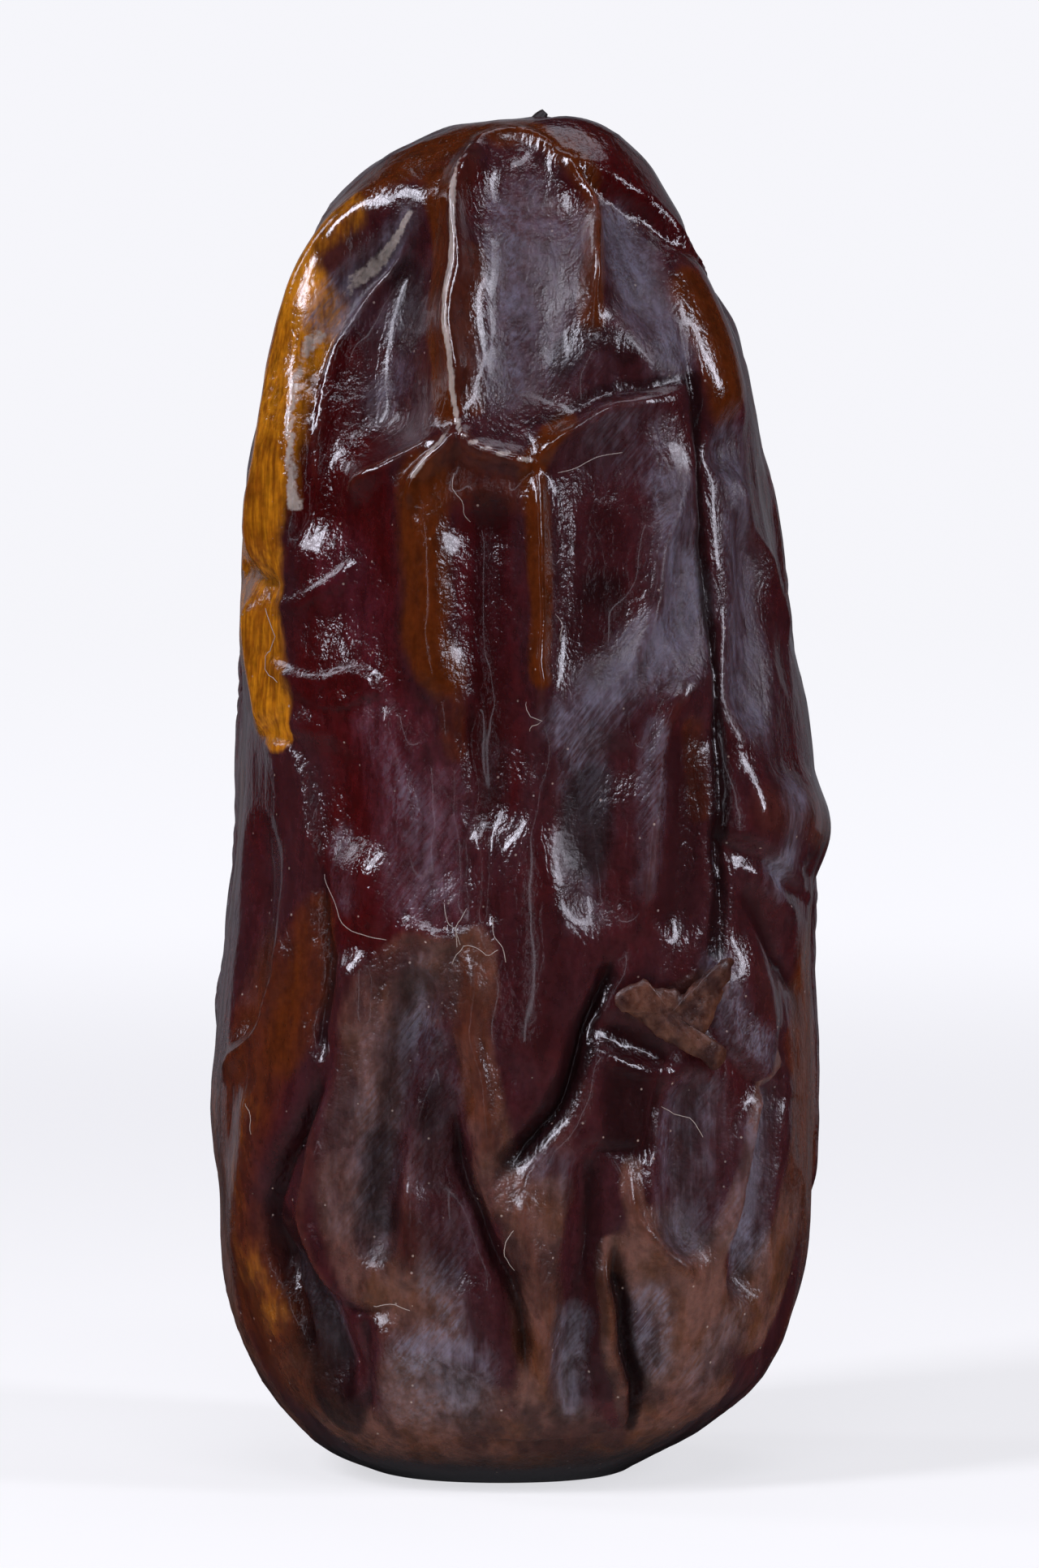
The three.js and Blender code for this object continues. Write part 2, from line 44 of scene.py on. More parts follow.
# The date's driving sizes, in millimetres, as in the part's source
HEIGHT = 55.6
SCAR_DEPTH = 0.8
CORNER = 0.018
SHARPNESS = 0.4  # how round the bottom of a crease is, in half widths
FOOT_FADE = (0.15, 1.9)  # between these heights the relief comes in
VIEW_DISTANCE = 340
VIEW_SLOPE = 0.06
VIEW_MIDDLE = HEIGHT / 2

# The finer skin
RINGS = 300
SIDES = 330
FRONT_CROWDING = 0.45  # how much closer the columns stand at the front than on average

# How far the small unevenness stands out
WRINKLE, FINE_WRINKLE = 0.03, 0.012
DENT, SMALL_DENT = 0.09, 0.02
LONG_CREASE, SHORT_CREASE = 0.07, 0.03

# Cross-sections from the stem end to the tip: [height, left, right, front, back]
SECTIONS = [
    [SCAR_DEPTH, -0.6, -0.6, 0.2, 0.2],
    [SCAR_DEPTH - 0.1, -1.9, 0.7, -1.1, 1.5],
    [0, -2.8, 1.6, -2.0, 2.4],
    [0, -5.6, 4.2, -4.9, 5.1],
    [0.35, -6.9, 5.1, -6.2, 6.5],
    [1.05, -8.35, 6.3, -7.6, 7.9],
    [2.3, -9.7, 8.35, -9.1, 9.3],
    [4.2, -11.0, 10.4, -10.4, 10.5],
    [7.0, -12.1, 11.6, -11.3, 11.2],
    [11.0, -12.55, 12.1, -11.8, 11.6],
    [16.0, -12.75, 12.2, -12.0, 11.8],
    [21.0, -12.3, 12.05, -11.9, 11.8],
    [26.0, -11.75, 12.3, -11.7, 11.6],
    [31.0, -11.5, 11.95, -11.5, 11.3],
    [36.0, -11.6, 10.9, -11.1, 10.8],
    [41.0, -11.15, 10.1, -10.5, 10.2],
    [45.5, -10.0, 9.35, -9.7, 9.3],
    [49.0, -9.05, 7.7, -8.6, 8.3],
    [51.6, -7.95, 6.05, -7.3, 7.0],
    [53.6, -6.0, 4.95, -5.6, 5.6],
    [55.0, -2.9, 3.3, -3.3, 3.5],
    [HEIGHT, 0.9, 0.9, 0.1, 0.1],
]
FLAT_SECTION = 3

# Relief seen from the front: [kind, height, half width, [[x, z], ...]]
FRONT_RELIEF = [
    # the tall window of ridges under the tip
    ["ridge", 1.15, 0.55,
        [[-1.5, 54.3], [-2.15, 53.5], [-2.5, 52.4], [-2.65, 51.2], [-2.65, 50], [-2.8, 47.5],
         [-2.7, 45], [-2.4, 43]]],
    ["ridge", 0.5, 0.5,
        [[-2.0, 53.8], [-1.4, 54.4], [-0.6, 54.7], [0.3, 54.6], [1.0, 54.2], [1.8, 53.5]]],
    ["ridge", 0.85, 0.42,
        [[1.2, 54.0], [2.0, 53.3], [2.6, 52.4], [2.85, 50.9], [2.9, 49.2], [3.1, 47.4]]],
    ["ridge", 0.9, 0.42, [[-2.4, 43.2], [-2.9, 42.1], [-3.7, 41.3], [-4.3, 40.4], [-4.5, 39]]],
    ["ridge", 0.95, 0.4, [[-2.4, 43], [-1.9, 42.15], [-0.9, 41.7], [0.5, 41.35]]],
    ["ridge", 0.6, 0.5, [[0.4, 41.4], [1.2, 42.0], [2.0, 42.7], [3.2, 43.3], [4.6, 43.8], [6.6, 44.2]]],
    ["ridge", 0.65, 0.44, [[-2.9, 42.7], [-4.0, 42.0], [-5.2, 41.4], [-6.4, 40.8], [-7.5, 40.0]]],
    ["panel", -0.95, 2.0, [[0.2, 52.0], [0.1, 48], [0.4, 45]]],
    ["panel", 0.2, 1.3, [[2.6, 45.6], [4.4, 45.8]]],
    ["panel", -0.35, 0.8, [[1.3, 44.0], [2.8, 44.6], [4.4, 44.9]]],
    ["crease", -0.4, 0.28, [[1.5, 42.9], [2.4, 43.5], [3.5, 43.95], [4.8, 44.3], [6.9, 45.1]]],
    # the lobe that folds over at the top right
    ["panel", 0.5, 2.1, [[3.0, 54.4], [4.6, 53.0], [5.6, 51.8]]],
    ["fold", 0.6, 0.45,
        [[1.4, 53.9], [2.8, 52.95], [4.0, 52.1], [5.0, 51.4], [6.0, 50.4], [6.9, 49.5]]],
    ["panel", 0.7, 1.7, [[6.8, 48.9], [7.7, 46.8], [8.2, 44.6]]],
    ["panel", -0.4, 1.2, [[4.2, 50.6], [4.9, 48.2]]],
    ["panel", -0.5, 0.85, [[8.4, 42.9], [8.3, 41.8]]],
    # the golden ridge along the left edge and its loose lower strip
    ["ridge", 1.0, 1.4,
        [[-5.0, 53.0], [-6.7, 51.2], [-7.9, 49.2], [-8.7, 47], [-9.3, 44.6], [-9.7, 42], [-10.1, 39.6],
         [-10.4, 37.8], [-10.6, 36.9]]],
    ["ridge", 0.7, 1.0, [[-10.8, 36.2], [-10.6, 34], [-10.3, 32], [-9.9, 30.2]]],
    ["crease", -0.4, 0.35, [[-11.8, 36.9], [-10.6, 36.7], [-9.6, 36.4]]],
    ["fold", -0.55, 0.4,
        [[-5.0, 51.3], [-6.6, 49.8], [-7.7, 47.9], [-8.3, 45.4], [-8.6, 42.4], [-8.9, 39.6],
         [-9.2, 37.4]]],
    ["ridge", 0.6, 0.32,
        [[-4.5, 51.5], [-5.6, 50.3], [-6.7, 48.8], [-7.5, 47.2], [-8.0, 45.3], [-8.3, 43.3],
         [-8.5, 41.0], [-8.6, 38.4]]],
    ["panel", -2.0, 2.5, [[-5.6, 49.4], [-6.1, 46.8], [-6.2, 44.2]]],
    ["panel", -0.8, 1.5, [[-7.7, 42.0], [-8.1, 39.5]]],
    # the cherry-red hollow left of the middle
    ["panel", -0.7, 2.1, [[-7.2, 38.2], [-7.4, 35.2]]],
    ["ridge", 0.35, 0.4, [[-9.9, 35.5], [-8.8, 35.8], [-7.9, 36.4], [-7.0, 37.4]]],
    ["panel", -0.3, 0.6, [[-6.1, 37.3], [-5.6, 36.6]]],
    ["fold", -0.3, 0.3,
        [[-9.9, 33.5], [-9.2, 33.0], [-8.2, 32.7], [-7.0, 33.0], [-6.0, 32.7], [-5.3, 31.9]]],
    ["panel", -0.3, 0.8, [[-8.5, 32.2], [-6.6, 32.2]]],
    ["fold", 0.28, 0.3, [[-9.2, 32.2], [-8.4, 31.5], [-7.3, 31.4], [-6.2, 31.6], [-5.3, 31.7]]],
    ["ridge", 0.4, 0.45, [[-5.4, 31.4], [-5.2, 30.4], [-4.9, 29.2], [-4.6, 27.4], [-4.4, 25.2]]],
    ["ridge", 0.25, 0.5, [[-9.6, 30.6], [-8.0, 30.3], [-6.6, 29.4]]],
    ["panel", -0.5, 1.5, [[-7.4, 29.2], [-7.0, 26.5]]],
    ["panel", 0.3, 1.0, [[-6.4, 24.8], [-6.0, 23.2]]],
    ["panel", -0.3, 1.1, [[-3.3, 28.5], [-3.3, 24.8]]],
    ["fold", -0.25, 0.35, [[-10.3, 30.0], [-9.2, 29.6], [-8.6, 28.4], [-8.3, 26.6], [-8.0, 24.6]]],
    # the dark trough down the middle and its amber rims
    ["ridge", 0.5, 0.9,
        [[-4.3, 40.6], [-4.0, 38.5], [-3.9, 36.5], [-3.9, 34.8], [-3.6, 33.2], [-3.1, 31.4]]],
    ["ridge", 0.65, 0.42, [[0.5, 41.4], [0.75, 39.5], [0.9, 37], [1.0, 35], [0.9, 32.5], [0.5, 30.5]]],
    ["panel", -0.85, 1.3, [[-1.5, 38.4], [-1.5, 34.5], [-1.0, 30.5], [-1.1, 27.4]]],
    ["crease", -0.3, 0.3, [[-2.1, 32.4], [-2.05, 29], [-2.1, 26], [-1.9, 22.6]]],
    ["crease", -0.3, 0.25, [[-1.2, 26.4], [-1.15, 24.2], [-1.3, 22.2]]],
    # the broad panels right of the middle
    ["panel", -0.7, 1.75, [[3.4, 40.6], [3.2, 38], [3.0, 34.4]]],
    ["panel", 0.25, 1.0, [[3.7, 39.0], [3.6, 36.8]]],
    ["ridge", 0.45, 0.5, [[6.9, 41.2], [6.0, 39], [5.6, 36.8], [5.2, 34.6], [4.3, 32.8], [3.0, 31.5]]],
    ["panel", -0.35, 1.0, [[6.6, 37.6], [6.5, 34.8]]],
    ["panel", -0.7, 1.3, [[3.3, 28.6], [2.8, 26.2], [3.2, 24]]],
    ["ridge", 0.55, 0.5, [[7.4, 32.6], [6.4, 31.6], [5.7, 29.5], [5.4, 27], [5.2, 24.8], [4.9, 22.6]]],
    ["panel", -0.4, 1.0, [[7.2, 30], [7.0, 26.5], [6.6, 23]]],
    ["crease", -0.6, 0.36,
        [[6.4, 46.4], [6.9, 44.6], [7.2, 42], [7.35, 39], [7.6, 36], [7.85, 33], [8.05, 30], [8.2, 27],
         [8.2, 24], [8.0, 21.4]]],
    ["fold", -0.35, 0.4,
        [[6.4, 46.4], [6.9, 44.6], [7.2, 42], [7.35, 39], [7.6, 36], [7.85, 33], [8.05, 30], [8.2, 27],
         [8.2, 24], [8.0, 21.4]]],
    # the right flank
    ["panel", -0.6, 1.2, [[9.3, 37.8], [9.5, 34.8], [9.3, 31.8]]],
    ["ridge", 0.5, 0.5, [[8.6, 41.2], [9.0, 39.6], [9.9, 37.6], [10.6, 35.6], [11.0, 33.8]]],
    ["panel", 0.7, 1.5, [[9.6, 27.3], [11.6, 26.8], [12.6, 26.4]]],
    ["fold", 0.5, 0.4, [[8.4, 26.1], [9.5, 25.6], [10.4, 24.7], [11.7, 23.7]]],
    ["ridge", 0.35, 0.6, [[9.2, 24.7], [10.3, 23.7], [11.4, 22.6]]],
    ["crease", -0.5, 0.5, [[8.9, 24.0], [9.8, 22.4], [10.7, 20.7], [11.6, 19.6]]],
    ["panel", 0.5, 1.2, [[9.3, 20.6], [9.7, 18.6]]],
    ["fold", 0.55, 0.4, [[7.9, 21], [7.95, 19.2], [8.5, 17.3], [9.4, 16.3], [10.5, 15.8]]],
    ["crease", -0.35, 0.35, [[10.6, 17.8], [10.9, 16.6], [10.5, 15.8]]],
    ["panel", -0.9, 0.9, [[10.3, 15.2], [9.9, 12.6], [9.5, 9.6], [9.2, 7.8]]],
    ["ridge", 0.65, 0.4, [[10.2, 16.0], [9.4, 14.6], [8.9, 12.6], [8.6, 10.6], [8.2, 9.2]]],
    # the torn skin right of the middle
    ["crease", -0.8, 0.36,
        [[4.2, 21.3], [3.4, 19.8], [2.8, 18], [2.3, 16.3], [1.8, 14.8], [0.8, 13.7], [-0.3, 12.7],
         [-1.2, 11.4]]],
    ["fold", 0.4, 0.3, [[3.4, 19.8], [2.8, 18], [2.3, 16.3], [1.8, 14.8], [0.8, 13.7], [-0.3, 12.7]]],
    ["panel", -0.6, 0.8, [[4.0, 18.0], [5.0, 17.5], [6.0, 16.9]]],
    ["ridge", 0.35, 0.3, [[3.3, 17.4], [4.4, 16.7], [5.6, 16.3], [6.4, 16.2]]],
    ["panel", -0.3, 0.95, [[5.0, 19.2], [6.3, 18.6], [7.2, 17.8]]],
    ["crease", -0.4, 0.22, [[5.75, 16.4], [5.6, 14.6], [5.1, 12.5]]],
    ["crease", -0.3, 0.18, [[2.9, 13.1], [3.9, 13.0], [5.0, 13.0]]],
    # the smooth purple panel in the middle and the tan band beside it
    ["panel", 0.4, 1.7, [[0.6, 24], [0.9, 21], [0.5, 18]]],
    ["ridge", 0.65, 0.55,
        [[-1.9, 21.7], [-1.9, 19.6], [-1.9, 17.4], [-1.5, 15.4], [-1.3, 13.4], [-1.5, 12.0]]],
    ["ridge", 0.4, 0.35, [[-5.0, 22.1], [-4.2, 22.1], [-3.2, 21.7], [-1.6, 21.9]]],
    # the lower panels, left to right
    ["panel", 0.45, 0.7, [[-6.85, 20.4], [-6.85, 18.6]]],
    ["crease", -0.6, 0.24, [[-8.0, 25.4], [-7.9, 22.6], [-7.6, 20.6], [-8.0, 18.4], [-8.0, 16.4]]],
    ["crease", -1.0, 0.3,
        [[-8.0, 16.4], [-8.5, 14.6], [-9.3, 13], [-9.9, 11.3], [-10.0, 9.8], [-9.7, 7.6], [-9.1, 5.8],
         [-8.3, 3.9]]],
    ["panel", -1.0, 1.15, [[-9.2, 8.6], [-8.2, 6.4], [-7.4, 4.4]]],
    ["ridge", 0.65, 0.5, [[-7.8, 15.6], [-8.3, 12.2], [-8.6, 10.2], [-8.1, 8.2], [-7.3, 6.9]]],
    ["panel", -0.75, 0.85, [[-4.3, 19.4], [-4.6, 17.2], [-5.6, 13.4], [-5.9, 9.4]]],
    ["ridge", 0.35, 0.6, [[-4.3, 12], [-4.6, 9.4], [-4.4, 7.2]]],
    ["panel", -0.5, 1.1, [[-3.2, 16.4], [-3.2, 12], [-2.7, 8.6]]],
    ["crease", -0.9, 0.26,
        [[-2.7, 15], [-2.5, 13], [-1.9, 11], [-1.1, 9], [-0.3, 7.2], [0.2, 5.2], [0.3, 3.4]]],
    ["crease", -0.45, 0.22, [[-7.3, 6.7], [-6.4, 6.3], [-5.0, 6.4]]],
    ["crease", -0.45, 0.22, [[-6.2, 6.2], [-6.2, 4.2], [-6.2, 2]]],
    ["ridge", 0.3, 0.35, [[-6.0, 5.8], [-4.8, 4.9], [-3.0, 4.7], [-1.0, 3.7]]],
    ["ridge", 0.65, 0.55, [[0.2, 11.6], [0.4, 9], [0.9, 6], [0.9, 3.2]]],
    ["panel", -0.7, 0.8, [[2.9, 12.2], [2.7, 9], [2.2, 6], [2.3, 3.4]]],
    ["ridge", 0.75, 0.4, [[3.8, 8.8], [3.8, 6.6], [4.1, 4.4], [4.4, 2.4]]],
    ["crease", -1.2, 0.32, [[4.1, 9.4], [4.2, 7], [4.4, 5], [4.8, 3], [4.7, 1.6]]],
    ["ridge", 0.7, 0.42, [[4.5, 12.4], [4.6, 10.6], [5.4, 9.4], [6.2, 8.5], [7.1, 7.6]]],
    ["panel", -0.95, 1.2, [[6.9, 14.8], [6.8, 12], [7.0, 10]]],
    ["panel", -0.45, 0.9, [[5.3, 7.4], [5.4, 4.6]]],
    # the hanging front edge of the foot
    ["fold", 0.35, 0.3, [[-1.6, 1.2], [0, 1.15], [1.9, 1.2], [3.1, 1.45], [4.5, 1.9], [5.4, 3.0]]],
    # the lobes of the lower left
    ["panel", -0.6, 1.5, [[-10.6, 25], [-10.8, 21.4], [-11.0, 19]]],
    ["ridge", 0.55, 0.5, [[-9.3, 22.4], [-9.8, 20], [-10.4, 18.4], [-11.3, 17.3], [-12.3, 16.2]]],
    ["panel", 0.4, 1.7, [[-10.7, 13.6], [-11.2, 9.6]]],
]

# Relief on the flanks and the back, with points as [degrees round from the front, height]
SIDE_RELIEF = [
    ["ridge", 0.7, 0.65, [[103, 49], [106, 44], [102, 38], [108, 32], [104, 26]]],
    ["ridge", 0.6, 0.6, [[104, 26], [115, 21], [118, 15], [114, 8]]],
    ["ridge", 0.5, 0.5, [[104, 26], [98, 21], [97, 15], [100, 10]]],
    ["ridge", 0.7, 0.65, [[126, 52], [130, 46], [135, 40], [131, 33], [127, 27], [115, 21]]],
    ["ridge", 0.8, 0.7,
        [[150, 53.5], [148, 47], [153, 41], [160, 36], [158, 29], [151, 23], [148, 16], [150, 9],
         [156, 3]]],
    ["ridge", 0.6, 0.55, [[160, 36], [172, 32], [178, 26], [174, 20], [178, 12], [174, 5]]],
    ["ridge", 0.8, 0.7,
        [[187, 54], [188, 48], [183, 42], [190, 37], [200, 32], [204, 26], [200, 19], [206, 12],
         [202, 4]]],
    ["ridge", 0.6, 0.6, [[213, 51], [212, 44], [219, 38], [215, 32], [204, 26]]],
    ["ridge", 0.75, 0.65,
        [[238, 50], [241, 44], [236, 37], [241, 31], [248, 26], [244, 19], [238, 12], [234, 4]]],
    ["ridge", 0.5, 0.5, [[130, 46], [140, 43.5], [148, 46]]],
    ["ridge", 0.45, 0.5, [[153, 41], [168, 43], [183, 42]]],
    ["ridge", 0.5, 0.5, [[219, 38], [228, 35.5], [236, 37]]],
    ["ridge", 0.45, 0.5, [[200, 19], [213, 16.5], [226, 19], [244, 19]]],
    ["ridge", 0.45, 0.5, [[127, 27], [139, 21.5], [151, 23]]],
    ["ridge", 0.5, 0.5, [[253, 48], [258, 42], [254, 36], [262, 30], [257, 23], [262, 15], [256, 8]]],
    ["panel", -0.8, 2.0, [[117, 45], [119, 36], [116, 30]]],
    ["panel", -0.8, 2.0, [[141, 37], [144, 30]]],
    ["panel", -0.7, 1.7, [[139, 50], [139, 47]]],
    ["panel", -0.8, 2.1, [[167, 51], [167, 46]]],
    ["panel", -0.7, 1.7, [[170, 38], [173, 36]]],
    ["panel", -0.9, 1.9, [[166, 26], [163, 18], [163, 9]]],
    ["panel", -0.9, 2.0, [[189, 29], [188, 20], [190, 9]]],
    ["panel", -0.8, 2.0, [[201, 47], [201, 40]]],
    ["panel", -0.8, 1.9, [[226, 48], [226, 41]]],
    ["panel", -0.8, 2.0, [[227, 31], [224, 24]]],
    ["panel", -0.8, 2.0, [[222, 13], [219, 6]]],
    ["panel", -0.8, 1.8, [[134, 16], [133, 8]]],
    ["panel", -0.6, 1.4, [[247, 42], [247, 34]]],
    ["panel", -0.7, 1.6, [[254, 17], [248, 8]]],
    ["crease", -0.5, 0.4, [[108, 17], [107, 10], [104, 4]]],
    ["crease", -0.5, 0.4, [[124, 41], [125, 34], [121, 28]]],
    ["crease", -0.5, 0.4, [[158, 22], [156, 15], [160, 7]]],
    ["crease", -0.5, 0.4, [[194, 25], [193, 16], [196, 8]]],
    ["crease", -0.5, 0.4, [[210, 47], [206, 40], [208, 34]]],
    ["crease", -0.5, 0.4, [[232, 29], [234, 21], [230, 13]]],
]

TINTS = ("gold_and_glow", "amber", "tan", "wine", "rose", "bloom_and_sheen", "dark", "painted_highlight")
# Where the tints with a crisp edge begin and end to fade, in half widths
EDGES = {
    "gold_and_glow": (0.75, 1.35), "amber": (0.45, 1.6), "tan": (0.6, 1.4),
    "dark": (0.5, 1.5), "painted_highlight": (0.4, 1.6),
}
SOFT_EDGE = (0.3, 1.7)  # for every other tint

